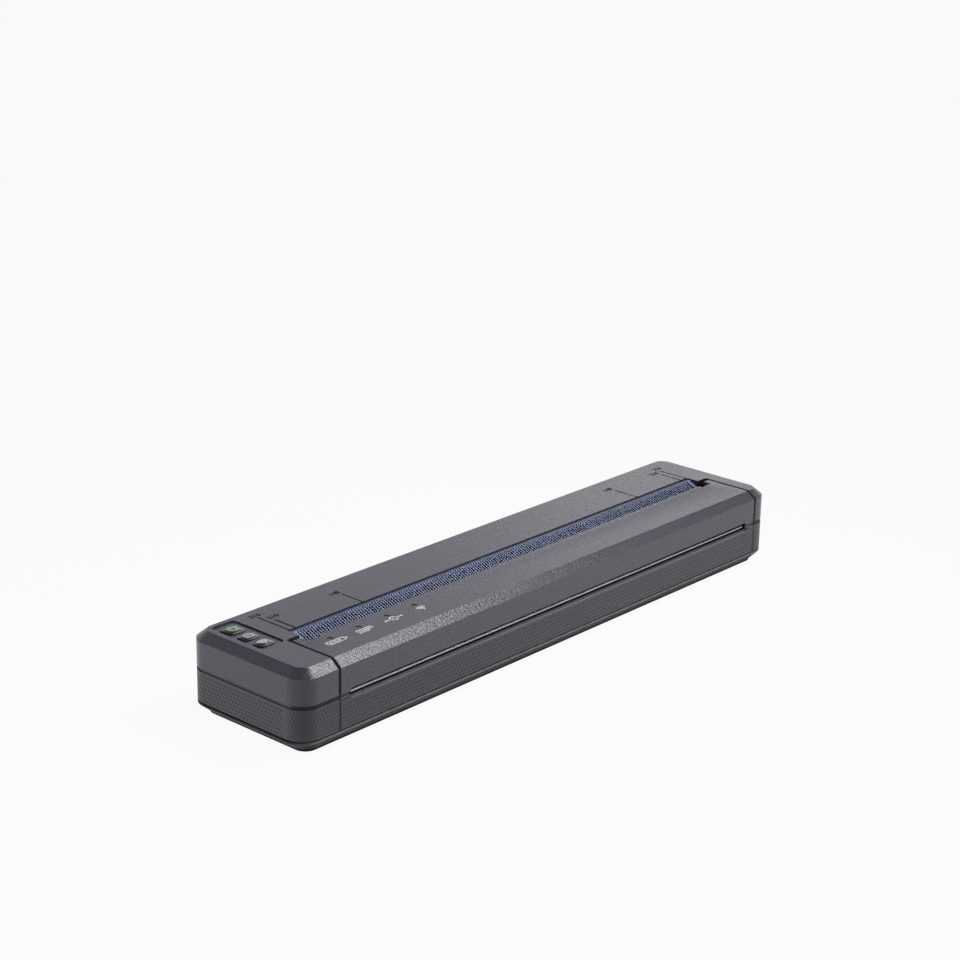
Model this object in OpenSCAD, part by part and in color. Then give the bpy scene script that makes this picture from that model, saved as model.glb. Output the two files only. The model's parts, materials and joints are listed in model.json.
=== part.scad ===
// Portable full-page thermal printer with a hinged release cover.
// Frame: X along the length, Y from front to rear, Z up. Origin under the centre of the case.

/* [Case] */
// Length of the case
case_l = 255; // [250:1:265]
// Depth of the case from front to rear
case_w = 55; // [54:0.5:58]
// Height of the case
case_h = 30; // [29.5:0.5:32]
// Radius of the upright corners
corner_r = 7.6; // [6:0.2:9]
// Wall of the case mouldings
wall = 1.8; // [1.6:0.1:2]
// Run of the top chamfer over the top
chamfer_in = 3.5; // [3:0.1:4]
// Drop of the top chamfer down the walls
chamfer_drop = 2.8; // [2.4:0.1:3.2]
// Height of the groove between the upper and lower case, at its middle
groove_z = 17.25; // [17:0.05:17.5]
// Height of that groove
groove_h = 1.3; // [1:0.1:1.5]
// Depth of that groove
groove_d = 0.5; // [0.3:0.1:0.7]

/* [Base tray] */
// Height of the base tray's rim
base_h = 5; // [4.8:0.1:5.3]
// Gap seen between the tray and the lower case
base_gap = 0.5; // [0.3:0.1:0.6]
// Run-in of the tray at the two ends
base_in_end = 4.3; // [3:0.1:5]
// Run-in of the tray at the front and rear
base_in_side = 3.2; // [2.4:0.1:3.4]
// Floor thickness of the tray
floor_t = 1.8; // [1.5:0.1:2]
// How far the rubber feet stand out under the tray
foot_out = 0.3; // [0.2:0.1:0.6]
// Diameter of a rubber foot
foot_d = 9; // [7:0.5:10]

/* [Release cover] */
// Length of the case's left end cap, up to the cover's seam
cap_left = 16.9; // [16.4:0.1:17.5]
// Length of the case's right end cap, up to the cover's seam
cap_right = 9.7; // [9.2:0.1:10.2]
// Gap at the seams round the cover
seam = 0.5; // [0.4:0.05:0.6]
// Wall of the cover
cover_wall = 1.6; // [1.5:0.05:1.7]
// Depth of the cover over the top, from the front face to the feed mouth
cover_d = 20.3; // [20:0.1:20.8]
// Diameter of a hinge pin
hinge_d = 2.5; // [2:0.1:2.6]

/* [Paper path] */
// Width of the feed mouth, from the cover to the rear case
mouth_w = 10; // [9.6:0.1:10.6]
// Height of the paper where it leaves the front
exit_z = 17.06; // [16.9:0.02:17.2]
// Distance of the print line behind the front face
nip_d = 7.7; // [7.6:0.05:7.9]
// Diameter of the platen's steel shaft
shaft_d = 3; // [2.6:0.1:3.2]
// Spacing of the ribs on the feed ramp
rib_pitch = 1.2; // [1.1:0.05:1.6]
// Height of a rib
rib_h = 0.8; // [0.5:0.1:1]

/* [Gear train] */
// Module of the gears
gear_m = 0.5; // [0.49:0.005:0.51]
// Face width of a gear
gear_w = 1.5; // [1.3:0.1:1.6]
// Teeth on the platen gear
platen_teeth = 14; // [14:1:14]
// Teeth on the idler gear
idler_teeth = 20; // [20:1:20]
// Teeth on the small wheel of the reduction gear
small_teeth = 12; // [12:1:12]
// Teeth on the big wheel of the reduction gear
big_teeth = 26; // [26:1:26]
// Teeth on the motor pinion
pinion_teeth = 10; // [10:1:10]
// Diameter of the motor
motor_d = 18; // [16:0.5:18]
// Length of the motor
motor_l = 15.5; // [13:0.5:16]

/* [Buttons and lights] */
// Travel of a button
button_travel = 0.5; // [0.3:0.05:0.6]
// Width of a button along the case
button_w = 6.7; // [6.2:0.1:7]
// Depth of the button panel's recess
panel_d = 0.5; // [0.4:0.1:0.7]
// Diameter of a status light
light_d = 2.6; // [2:0.1:3]

/* [Battery] */
// Gap between the cells, and between the cells and the ends of their case
cell_gap = 0.4; // [0.3:0.1:1]
// Wall of the battery case
pack_wall = 0.8; // [0.7:0.1:1]
// Height of the battery case's walls over its floor
pack_wall_h = 8; // [6:0.5:10]

/* [Hidden] */
$fn = 64;

// Shared clearances
run = 0.05;        // radial clearance of a pin that turns
fit = 0.1;         // clearance of parts laid together, and overlap of forms that make one part
slide_gap = 0.25;  // clearance of parts that move past each other
body_gap = 0.4;    // clearance of parts that stay apart
over = 1;          // overrun of a cut
thin = 0.02;       // overlap of a screw's head and shank

// Colours
charcoal = "#6b6972";
dotted_grey = "#56545a";
tray_grey = "#4a484d";
black = "#242427";
rib_blue = "#7f8fc0";
steel = "#c8c8cc";
board_green = "#2f6b3c";
natural = "#e6e3da";
gold = "#c9a24a";

// Case corners and walls
x_left = -case_l / 2;
x_right = case_l / 2;
y_front = -case_w / 2;
y_rear = case_w / 2;
chamfer_len = norm([chamfer_in, chamfer_drop]);
chamfer_out = chamfer_drop / chamfer_len;
chamfer_up = chamfer_in / chamfer_len;
function low_drop(t) = t * chamfer_up / (1 + chamfer_out);
function top_run(t) = t * chamfer_out / (1 + chamfer_up);
groove_top = groove_z + groove_h / 2;
groove_low = groove_z - groove_h / 2;
lower_z0 = base_h + base_gap;
floor_z = foot_out + floor_t;
rim_h = 0.5;       // upright part of the tray at its lower edge
edge_h = 0.7;      // upright part of the tray at its upper edge
lap_h = 1.6;       // how far the tray's inner rim stands into the lower case
lap_t = 1;         // thickness of that rim
lap_low = 1.2;     // how far that rim reaches down into the tray
ring_steps = 12;   // facets on a quarter turn of the case corners
foot_t = 1;        // depth of a foot in the tray
over_lap_z = base_h + lap_h + 2 * fit;
foot_in_left = 13.5; // distance of the left feet from the left end
foot_in_right = 18;
foot_in_front = 14.5;
foot_in_rear = 13.5;
tab_in = 3;        // depth of the ribs beside the front panel
tab_t = 1.4;       // thickness of the tabs behind the panel's ends, and their set-back
tab_drop = 2.6;    // how far the tabs end under the slot

// Cover, feed mouth and their seams along X
seam_l = x_left + cap_left;
seam_r = x_right - cap_right;
cover_x0 = seam_l + seam / 2;
cover_x1 = seam_r - seam / 2;
ear_l = 3.9;       // width of the left hinge ear
ear_r = 3.3;       // width of the right hinge ear
ear_short = 0.2;   // how far an ear's block stays short of its skin
cover_end_t = 1;   // thickness of the cover's end walls
ear_x0 = cover_x0 + ear_l;
ear_x1 = cover_x1 - ear_r;
step_l = 5.9;      // length of the set-back at each end of the mouth
step_d = 1.3;      // depth of that set-back
ear_reach = 2.2;   // how far an ear reaches behind the cover's rear edge
notch_gap = 1.7;   // gap behind an ear
mouth_side = 1.2;  // gap between an ear and the mouth's end wall
mouth_r = 1.1;     // radius of the mouth's rear corners
cover_y1 = y_front + cover_d;
ear_y1 = cover_y1 + ear_reach;
notch_y1 = ear_y1 + notch_gap;
mouth_y1 = cover_y1 + mouth_w;
mouth_x0 = ear_x0 + mouth_side;
mouth_x1 = ear_x1 - mouth_side;
seam_up = 0.4;     // height of the seam walls' lower edge over the groove
hinge_back = 0.3;
hinge_drop = 2.6;
hinge_y = cover_y1 - hinge_back;
hinge_z = case_h - hinge_drop;
ear_boss_r = 2.4;
ear_front_share = 0.4;
ear_rear_share = 0.6;
ear_side_share = 0.8;
end_back = 2;      // how far a cover end reaches in front of the head
end_u1 = 11;
hinge_out = 2;     // length of a hinge pin in the case
hinge_in = 3;      // length of a hinge pin in its ear

// Paper path: a straight slope from the feed mouth to the front slot
lip_w = 1.65;      // width of the ramp's rear lip
lip_gap = 0.65;    // gap behind that lip
lip_drop = 0.4;    // the lip's depth under the case top
lip_t = 1.2;       // thickness of the lip
lip_edge = 0.1;    // small slope at the lip's front edge
lip_in = 0.2;
rib_drop = 0.36;   // the ribs' depth under the lip
ramp_y1 = mouth_y1 - lip_gap - lip_w;
lip_z = case_h - lip_drop;
path_z1 = lip_z - rib_drop;
path_a = atan2(path_z1 - exit_z, ramp_y1 - y_front);
nip_y = y_front + nip_d;
nip_z = exit_z + nip_d * tan(path_a);
function path_y(u, n) = nip_y + u * cos(path_a) - n * sin(path_a);
function path_z(u, n) = nip_z + u * sin(path_a) + n * cos(path_a);
function on_path(u, n) = [path_y(u, n), path_z(u, n)];
paper_gap = 0.15;  // room for the paper at the print line
path_low = 0.4;    // how far the fixed parts keep under the paper
path_high = 1;     // how far the cover's guide keeps over the paper
ramp_u1 = (ramp_y1 - nip_y) / cos(path_a);
ramp_u0 = 9;
ramp_t = 1.2;
rib_stop = 0.5;    // how far the ribs stop short of the lip
rib_join = 0.3;
ramp_side = 0.4;   // gap between the ramp and the mouth's end walls
ramp_x0 = mouth_x0 + ramp_side;
ramp_x1 = mouth_x1 - ramp_side;
flank = 2.2;       // smooth band at each end of the ribs
rib_w = rib_pitch / 2;
rib_x0 = ramp_x0 + flank;
rib_x1 = ramp_x1 - flank;
rib_count = floor((rib_x1 - rib_x0) / rib_pitch);
leg_t = 1.5;       // thickness of the ramp's leg and of the chassis wall under it
leg_in = 0.9;
leg_h = 4.6;
leg_y0 = ramp_y1 - leg_in;
leg_y1 = leg_y0 + leg_t;
leg_z0 = path_z1 - leg_h;

// Slot across the front
slot_in_l = 0.45;
slot_in_r = 1.85;
slot_low = 0.91;   // depth of the slot under the paper
slot_high = 1.79;  // height of the slot over the paper
slot_x0 = ear_x0 + slot_in_l;
slot_x1 = ear_x1 - slot_in_r;
slot_z0 = exit_z - slot_low;
slot_z1 = exit_z + slot_high;
slot_r = 1.1;
slot_rim = 0.9;    // border pressed in round the slot
slot_rim_d = 0.45;
exit_t = 1.2;      // thickness of the guide behind the slot
exit_lap = 0.6;    // how far that guide laps into the front wall
exit_deep = 2.4;   // its depth there
exit_gap = 0.5;    // gap between that guide and the head
exit_low = 0.2;

// Platen and print head
platen_share = 0.12;
platen_r = platen_share * case_h;
bush_rim = 1.1;    // how far a platen bush stays inside the roller's outline
bush_d = 2 * (platen_r - bush_rim);
platen_y = path_y(0, platen_r);
platen_z = path_z(0, platen_r);
plate_t = 1.2;     // thickness of the chassis side plates and of the cheeks over them
side_x0 = ramp_x0 - fit - plate_t;
side_x1 = ramp_x1 + fit;
roller_gap = 0.6;
shaft_out = 1;     // how far the platen's shaft stands out at the left
gear_gap = 0.5;
train_x = side_x1 + plate_t + gear_gap;
outer_x = train_x + gear_w + gear_gap;
head_u0 = -4;
head_u1 = 5.5;
head_side = 0.5;   // gap between the head's left end and the side plate
head_end = 3.6;    // gap between the head's right end and the side plate
head_x0 = side_x0 + plate_t + head_side;
head_x1 = side_x1 - head_end;
ceramic_t = 1;
sink_u1 = 8;
sink_t = 3;
sink_n = -paper_gap - ceramic_t;
pivot_d = 2;
pivot_in = 5;      // depth of a pivot in the heat sink
pivot_u = 6.9;
pivot_n = sink_n - sink_t / 2;
pivot_y = path_y(pivot_u, pivot_n);
pivot_z = path_z(pivot_u, pivot_n);

// Guide and cheeks under the cover, and the tear bar before them
guide_u0 = 4.7;
guide_u1 = 12.2;
guide_t = 1;
guide_rise = 1.2;  // how far the guide's front edge stands up
guide_nose = 0.6;
guide_lip = 0.3;   // how far its rear edge stands up
cheek_u0 = -2.6;
cheek_in = 0.3;
cheek_low = 0.1;   // how far the cheeks stay over the side plates
cheek_foot = 0.5;
cheek_drop = 0.4;
cheek_up = 2.3;
guide_rib_t = 1.2;
guide_rib_count = 6;
guide_rib_start = 58;
guide_rib_pitch = 27;
guide_rib_gap = 0.2;
guide_rib_lean = 1;
bar_l = 3.25;      // length of the tear bar along the slope
bar_t = 0.5;
bar_n = 0.3;
bar_back = 0.8;    // how far the bar stays in front of the head
bar_u1 = head_u0 - bar_back;
bar_end_l = 0.2;
bar_end_r = 2.4;
seat_l = 2.1;      // length of the cover's seat over the tear bar
seat_t = 1.2;
seat_n = bar_n + bar_t;
seat_rise = 0.6;
seat_end = 1;

// Springs under the head
spring_d = 5;
spring_wire = 0.6;
spring_turns = 5;
spring_gap = 0.5;
coil_steps = 12;
coil_sides = 6;
spring_u = -1;
spring_post_h = 2;
shelf_n = -10.8;
shelf_t = 1.2;
shelf_u0 = -5;
shelf_u1 = 2;
spring_count = 4;
spring_edge = 22;
web_t = 1.4;       // thickness of the web under the shelf
web_in = 1.6;
web_y = path_y(shelf_u0 + web_in, shelf_n);
plate_back = 0.3;  // how far the side plates reach in front of the head
plate_foot = 2;
plate_edge = 1;
plate_end = 3;
chassis_foot_h = 3;
chassis_foot_in = 2.6;
chassis_grip = 2.4;
chassis_foot_shares = [0.13, 0.5, 0.82];

// Gear centres, each set off from the one before
pressure_a = 25;
addendum = 0.85 * gear_m;
dedendum = 1.1 * gear_m;
backlash_share = 0.2;
backlash = backlash_share * gear_m;
flank_steps = 4;
train_a1 = -60;
train_a2 = -45;
train_a3 = 10;
gap12 = gear_m * (platen_teeth + idler_teeth) / 2;
gap23 = gear_m * (idler_teeth + small_teeth) / 2;
gap34 = gear_m * (big_teeth + pinion_teeth) / 2;
idler_y = platen_y + gap12 * cos(train_a1);
idler_z = platen_z + gap12 * sin(train_a1);
reduce_y = idler_y + gap23 * cos(train_a2);
reduce_z = idler_z + gap23 * sin(train_a2);
motor_y = reduce_y + gap34 * cos(train_a3);
motor_z = reduce_z + gap34 * sin(train_a3);
axle_d = 2;
axle_tip = 0.4;
hub_r = 1.9;
motor_shaft_d = 1.5;
motor_shaft_tip = 0.2;
motor_shaft_gap = 0.3;
motor_boss_d = 6;
motor_ear = 11.5;  // distance of a motor screw from the motor's axis
motor_ear_t = 0.8;
motor_ear_r = 2.2;
motor_ear_root = 5;
motor_ear_root_r = 3.4;
motor_ear_as = [160, 222];
motor_x1 = side_x1;
motor_x0 = motor_x1 - motor_l;
motor_plug_in = 3; // distance of the motor's connector from its closed end
motor_plug_l = 7.5;
motor_plug_w = 6;
motor_plug_out = 1.6;
motor_plug_root = 1;
motor_room = 0.6;

// Screws
case_screw_d = 2.2;
screw_head_d = 4;
screw_head_t = 1.4;
flat_head_t = 1;
socket_share = 0.8;
boss_r = 2.4;
boss_in = 7.2;     // distance of a corner screw from the two walls beside it
boss_top = 7;      // distance of a corner boss's end from the case top
screw_end = 2.2;   // how far a corner screw ends below its boss's end
small_screw_d = 1.6;
small_head_d = 3;
small_head_t = 0.8;
small_boss_r = 1.8;
small_grip = 2.4;  // depth of a small screw in its boss

// Boards
board_t = 1.6;
board_up = 3.9;    // height of the main board over the tray's floor
board_z = floor_z + board_up;
board_in_l = 8;
board_in_r = 7;
board_gap = 0.5;
board_x0 = side_x0 + board_in_l;
board_x1 = motor_x0 - board_in_r;
board_y1 = leg_y0 - board_gap;
board_w = 13.4;
board_y0 = board_y1 - board_w;
board_edge = 6;
chip_l = 6;
chip_w = 6;
chip_h = 1.1;
chip_in = 3;
chip_shares = [0.07, 0.18, 0.29, 0.4, 0.51, 0.62];
radio_share = 0.81;
radio_l = 18;
radio_h = 2.2;
radio_in = 1;
plug_share = 0.68;
plug_l = 20;
plug_w = 4.5;
plug_h = 2.2;
plug_in = 1;
port_gap = 0.3;
port_up = 2;       // height of the port board over the tray's rim
port_in_front = 15;
port_in_step = 30.5;
port_in_rear = 44;
port_x1 = x_right - wall - port_gap;
port_z = base_h + port_up;
port_y0 = y_front + port_in_front;
port_y1 = y_front + port_in_rear;
port_step = y_front + port_in_step;
port_depth = 6.6;
port_wide = 5.6;   // how far the port board is wider behind its step
port_screw_in = 3;
port_screw_end = 2.2;
jack_in = 38;
jack_w = 9;
jack_h = 6.8;
jack_l = 13.4;
jack_y = y_front + jack_in;
jack_hole_d = 4.4;
jack_pin_d = 1.3;
jack_back_t = 3;
jack_pin_in = 0.8;
usb_in = 23.6;
usb_w = 7.6;
usb_h = 3.9;
usb_l = 6.2;
usb_y = y_front + usb_in;
usb_wall = 0.5;
usb_tongue_in = 1;
usb_tongue_side = 1.4;
usb_tongue_t = 0.8;
port_out = 1.4;    // how far a socket reaches into the case wall
port_pad = 0.3;    // clearance of a socket in its window

// Button panel at the left end
panel_in = 5.5;
panel_l = 10.5;
panel_gap = 0.1;
panel_back = 5.3;
panel_x0 = x_left + panel_in;
panel_x1 = panel_x0 + panel_l;
panel_y0 = notch_y1 + panel_gap;
panel_y1 = y_rear - panel_back;
panel_r = 2;
panel_z = case_h - panel_d;
panel_t = 1.3;     // thickness of the case under the panel
panel_rim = 0.8;   // how far the thick part of the case reaches round the panel
button_in = 10.15;
button_x = x_left + button_in;
button_ins = [11.4, 19.2, 26.6]; // distances of the buttons from the rear wall
button_ys = [for (d = button_ins) y_rear - d];
button_hs = [6, 4.5, 4.6];
button_r = 1;
button_side = 0.35;  // straight height of a button over the panel
button_crown = 0.35;
button_skirt = 0.6;  // width of the rim that keeps a button in its hole
skirt_t = 0.6;
crown_shares = [[0, -0.25], [0.6, -1.4], [0.9, -3.2], [1, -5]];
stem_d = 2;
stem_l = 1;
plunger_d = 1.6;
plunger_h = 0.3;
switch_h = 1.2;
switch_w = 4;
switch_d = 3.2;
switch_board_t = 0.8;
switch_board_w = 9;
switch_board_end = 2;
button_z0 = panel_z - panel_t - skirt_t - fit;
stem_z0 = button_z0 - stem_l;
switch_z = stem_z0 - button_travel - fit - plunger_h - switch_h - switch_board_t;
post_r = 1.6;
post_grip = 2;
post_out = 4.9;      // distance of a board post from the nearest button's centre
post_side = 2.2;
post_extra = 0.7;

// Status lights in the cover
light_start = 10.7;
light_in = 4.4;
light_y = cover_y1 - light_in;
light_x0 = seam_l + light_start;
light_pitch = 13.35;
light_count = 4;
light_board_t = 0.8;
light_board_w = 2.6;
light_board_end = 3;

// Marks for paper widths, cut into the rear top
mark_w = 0.35;
mark_d = 0.2;
mark_gap = 0.1;
mark_y0 = mouth_y1 + mark_gap;
paper_mid = (mouth_x0 + mouth_x1) / 2;
paper_widths = [216.8, 210.8, 150.9];
paper_shifts = [0, 0, 1.5];
mark_lens_l = [15.2, 9.5, 9.8];
mark_lens_r = [12.6, 9.6, 11];

// Battery pack: its cells fill the room between the chassis and the motor
cell_count = 3;
lid_rim = 0.2;       // how far the pack's base reaches past its walls
lid_t = 1.6;
lid_r = 1.5;
hatch_in = 0.2;
bay_gap = 0.3;
pack_gap = 0.4;
pack_out = 1;
motor_gap = 5.8;     // room between the pack and the motor
pack_floor = 0.8;
pack_x0 = side_x0 - pack_out;
pack_x1 = motor_x0 - motor_gap;
pack_y0 = leg_y1 + pack_gap;
pack_y1 = y_rear - base_in_side - wall - pack_gap;
pack_y = (pack_y0 + pack_y1) / 2;
pack_skin = pack_wall + lid_rim;
cell_d = pack_y1 - pack_y0 - 2 * (pack_skin + fit);
cell_l = (pack_x1 - pack_x0 - 2 * pack_skin - (cell_count + 1) * cell_gap) / cell_count;
cell_cap_h = 1.2;
cell_cap_r = 3;
pack_z0 = foot_out + hatch_in;
pack_z = pack_z0 + lid_t + pack_floor + cell_d / 2;
pack_z1 = pack_z0 + lid_t + pack_floor + pack_wall_h;
grip_in = 14;        // distance of a finger grip from the pack's end
grip_l = 8;
grip_w = 12;
grip_d = 0.8;
terminal_t = 0.5;
terminal_w = 3;
terminal_h = 6;
terminal_out = 5;    // distance of a terminal from the pack's middle
terminal_ys = [pack_y - terminal_out, pack_y + terminal_out];
terminal_low = 0.6;
contact_w = 2;
contact_foot = 4;

// Paper sensor under a window in the ramp
sensor_w = 6;
sensor_u0 = 10.4;
sensor_l = 2.8;
sensor_t = 2.4;
sensor_gap = 0.2;
sensor_n = -rib_h - sensor_gap - sensor_t;
bracket_t = 1.2;
bracket_drop = 0.8;
bracket_root = 1.6;

// Catches that hold the cover down
catch_in = 3.2;
catch_up = 1.95;
catch_y = y_front + catch_in;
catch_z = groove_z + catch_up;
catch_pin_r = 0.8;
catch_t = 0.4;
catch_w = 1.4;
catch_low = 0.9;     // depth of a catch's base under the groove
catch_base_h = 1.5;
catch_side = 0.4;
catch_front_drop = 0.3;
catch_rear_rise = 0.5;
catch_z0 = groove_low - catch_low;
catch_xs = [cover_x0 + cover_end_t + catch_side, train_x];

// Plain solids and placing

module prism_x(x0, x1) {
    translate([x0, 0, 0]) rotate([90, 0, 90]) linear_extrude(x1 - x0) children();
}

module rod_x(x0, x1, y, z, r) {
    translate([x0, y, z]) rotate([0, 90, 0]) cylinder(h = x1 - x0, r = r);
}

module prism_y(y0, y1) {
    translate([0, y1, 0]) rotate([90, 0, 0]) linear_extrude(y1 - y0) children();
}

module block(x0, x1, y0, y1, z0, z1) {
    translate([x0, y0, z0]) cube([x1 - x0, y1 - y0, z1 - z0]);
}

module post(p, z0, z1, r) {
    translate([p[0], p[1], z0]) cylinder(h = z1 - z0, r = r);
}

module on_slope() {
    translate([0, nip_y, nip_z]) rotate([path_a, 0, 0]) children();
}

module round_rect(x0, x1, y0, y1, r) {
    translate([x0 + r, y0]) square([x1 - x0 - 2 * r, y1 - y0]);
    translate([x0, y0 + r]) square([x1 - x0, y1 - y0 - 2 * r]);
    for (x = [x0 + r, x1 - r], y = [y0 + r, y1 - r]) translate([x, y]) circle(r);
}

module case_rect(in_x, in_y, r) {
    round_rect(x_left + in_x, x_right - in_x, y_front + in_y, y_rear - in_y, r);
}

module case_ring(z0, z1, in, t) {
    translate([0, 0, z0]) linear_extrude(z1 - z0) difference() {
        case_rect(in, in, corner_r - in);
        case_rect(in + t, in + t, corner_r - in - t);
    }
}

// A ring of points round a rectangle with round corners, given its centre, half sizes and corner radius
function rect_points(x, y, half_x, half_y, r, z) = [for (q = [0:3], k = [0:ring_steps]) let(
    a = 90 * (q + k / ring_steps),
    sx = q == 0 || q == 3 ? 1 : -1,
    sy = q < 2 ? 1 : -1)
    [x + sx * (half_x - r) + r * cos(a), y + sy * (half_y - r) + r * sin(a), z]];

function case_points(z, in_x, in_y, r) = rect_points(0, 0, case_l / 2 - in_x, case_w / 2 - in_y, r, z);

// A closed solid through such rings, from the lowest to the highest
module ringed(rings) {
    n = len(rings[0]);
    sides = [for (k = [0:len(rings) - 2], i = [0:n - 1]) let(j = (i + 1) % n)
        [k * n + i, k * n + n + i, k * n + n + j, k * n + j]];
    polyhedron([for (ring = rings) each ring], concat(
        [[for (i = [0:n - 1]) i]], sides, [[for (i = [n - 1:-1:0]) (len(rings) - 1) * n + i]]));
}

// Solid of the upper case at an inset t, with its chamfered top
module upper_solid(z0, t) {
    top_in = chamfer_in + top_run(t);
    ringed([
        case_points(z0, t, t, corner_r - t),
        case_points(case_h - chamfer_drop - low_drop(t), t, t, corner_r - t),
        case_points(case_h - t, top_in, top_in, corner_r - top_in)
    ]);
}

// Profile of the cover and of the case front at an inset t, in Y and Z
function front_outline(t, z0, y1) = [
    [y_front + t, z0],
    [y_front + t, case_h - chamfer_drop - low_drop(t)],
    [y_front + chamfer_in + top_run(t), case_h - t],
    [y1, case_h - t],
    [y1, z0]
];

// Places of posts, feet and screws

function post_spots() = [[button_x, button_ys[2] - post_out],
    [button_x + post_side, button_ys[0] + post_out + post_extra]];

function corner_spots() = [for (x = [x_left + boss_in, x_right - boss_in],
    y = [y_front + boss_in, y_rear - boss_in]) [x, y]];

function foot_spots() = [for (x = [x_left + foot_in_left, x_right - foot_in_right],
    y = [y_front + foot_in_front, y_rear - foot_in_rear]) [x, y]];

function board_spots() = [for (x = [board_x0 + board_edge, board_x1 - board_edge])
    [x, (board_y0 + board_y1) / 2]];

function port_spots() = [for (y = [port_step, port_y0 + port_screw_end]) [port_x1 - port_screw_in, y]];

function chassis_spots() = [for (s = chassis_foot_shares)
    [side_x0 + s * (side_x1 - side_x0), web_y - chassis_foot_in]];

function motor_ear_at(a, r) = [motor_y + r * cos(a), motor_z + r * sin(a)];

module at_corners() {
    for (p = corner_spots()) translate([p[0], p[1], 0]) children();
}

// A web from each corner boss to the front or rear wall
module corner_webs(z0, z1) {
    for (p = corner_spots()) block(p[0] - wall / 2, p[0] + wall / 2,
        p[1] > 0 ? p[1] + boss_r - fit : y_front + wall - fit,
        p[1] > 0 ? y_rear - wall + fit : p[1] - boss_r + fit, z0, z1);
}

// Gears

function inv(a) = tan(a) * 180 / PI - a;

function flank_point(teeth, r) = let(
    pitch_r = gear_m * teeth / 2,
    base_r = pitch_r * cos(pressure_a),
    a = r > base_r ? acos(base_r / r) : 0,
    half = 90 / teeth - backlash / pitch_r * 45 / PI,
    turn = half + inv(pressure_a) - inv(a))
    [r, turn];

function gear_points(teeth, phase) = let(
    pitch_r = gear_m * teeth / 2,
    base_r = pitch_r * cos(pressure_a),
    root = pitch_r - dedendum,
    tip = pitch_r + addendum,
    start = max(root, base_r),
    rs = [root, for (k = [0:flank_steps]) start + (tip - start) * k / flank_steps])
    [for (i = [0:teeth - 1]) each concat(
        [for (r = rs) let(p = flank_point(teeth, r), a = phase + 360 * i / teeth - p[1])
            [r * cos(a), r * sin(a)]],
        [for (k = [len(rs) - 1:-1:0]) let(p = flank_point(teeth, rs[k]),
            a = phase + 360 * i / teeth + p[1]) [p[0] * cos(a), p[0] * sin(a)]])];

module gear(teeth, phase, x, y, z) {
    prism_x(x, x + gear_w) translate([y, z]) polygon(gear_points(teeth, phase));
}

// Tooth angle of a gear that meshes with one whose tooth angle is phase
function mate(phase, teeth, next_teeth, line) =
    line + 180 + 180 / next_teeth - (phase - line) * teeth / next_teeth;
phase_platen = 0;
phase_idler = mate(phase_platen, platen_teeth, idler_teeth, train_a1);
phase_small = mate(phase_idler, idler_teeth, small_teeth, train_a2);
phase_big = 0;
phase_pinion = mate(phase_big, big_teeth, pinion_teeth, train_a3);

// Case mouldings

module tray_solid(t) {
    side = base_in_side + t;
    end = base_in_end + t;
    low_r = corner_r - base_in_side - t;
    ringed([
        case_points(t > 0 ? floor_z : foot_out, end, side, low_r),
        case_points(t > 0 ? floor_z + rim_h : foot_out + rim_h, end, side, low_r),
        case_points(base_h - edge_h, t, t, corner_r - t),
        case_points(t > 0 ? base_h + over : base_h, t, t, corner_r - t)
    ]);
}

module base_tray() {
    color(tray_grey) difference() {
        union() {
            difference() {
                tray_solid(0);
                tray_solid(wall);
            }
            case_ring(base_h - lap_low, base_h + lap_h, wall + fit, lap_t);
            for (p = corner_spots()) post(p, foot_out, lower_z0, boss_r);
            for (p = board_spots()) post(p, floor_z - fit, board_z, small_boss_r);
            for (p = port_spots()) post(p, floor_z - fit, port_z, small_boss_r);
        }
        for (p = corner_spots()) {
            post(p, -over, lower_z0 + over, case_screw_d / 2 + run);
            post(p, -over, foot_out + screw_head_t + fit, screw_head_d / 2 + fit);
        }
        for (p = foot_spots()) post(p, foot_out - over, foot_out + foot_t, foot_d / 2);
        for (p = board_spots()) post(p, floor_z, board_z + over, small_screw_d / 2);
        for (p = port_spots()) post(p, floor_z, port_z + over, small_screw_d / 2);
        for (p = chassis_spots()) {
            post(p, -over, floor_z + over, case_screw_d / 2 + run);
            post(p, -over, foot_out + hatch_in + flat_head_t, screw_head_d / 2 + fit);
        }
        block(pack_x0 - bay_gap, pack_x1 + bay_gap, pack_y0 - bay_gap, pack_y1 + bay_gap,
            -over, floor_z + over);
    }
}

module lower_case() {
    color(dotted_grey) difference() {
        union() {
            case_ring(lower_z0, groove_low, 0, wall);
            case_ring(groove_low, groove_z, groove_d, wall - groove_d);
            for (p = corner_spots()) post(p, lower_z0, groove_z, boss_r);
            corner_webs(over_lap_z, groove_z);
        }
        block(seam_l, seam_r, y_front - over, y_front + wall + over, lower_z0 - over, groove_z + over);
        for (p = corner_spots()) post(p, lower_z0 - over, groove_z + over, case_screw_d / 2 + run);
        port_windows();
    }
    color(dotted_grey) {
        panel_tab(seam_l - wall, 0);
        panel_tab(seam_r, -wall - seam);
    }
}

// A rib beside the front panel and the tab that stands behind the panel's end
module panel_tab(x0, shift) {
    y0 = y_front + wall;
    block(x0, x0 + wall, y0 - fit, y0 + tab_in, over_lap_z, groove_z);
    block(x0 + shift, x0 + shift + 2 * wall + seam, y0 + fit, y0 + tab_t, over_lap_z, slot_z0 - tab_drop);
}

module port_window(y, w, h) {
    block(x_right - wall - over, x_right + over, y - w / 2 - port_pad, y + w / 2 + port_pad,
        port_z + board_t - port_pad, port_z + board_t + h + port_pad);
}

module port_windows() {
    port_window(usb_y, usb_w, usb_h);
    port_window(jack_y, jack_w, jack_h);
}

module slot_shape(grow) {
    round_rect(slot_x0 - grow, slot_x1 + grow, slot_z0 - grow, slot_z1 + grow, slot_r + grow);
}

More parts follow.
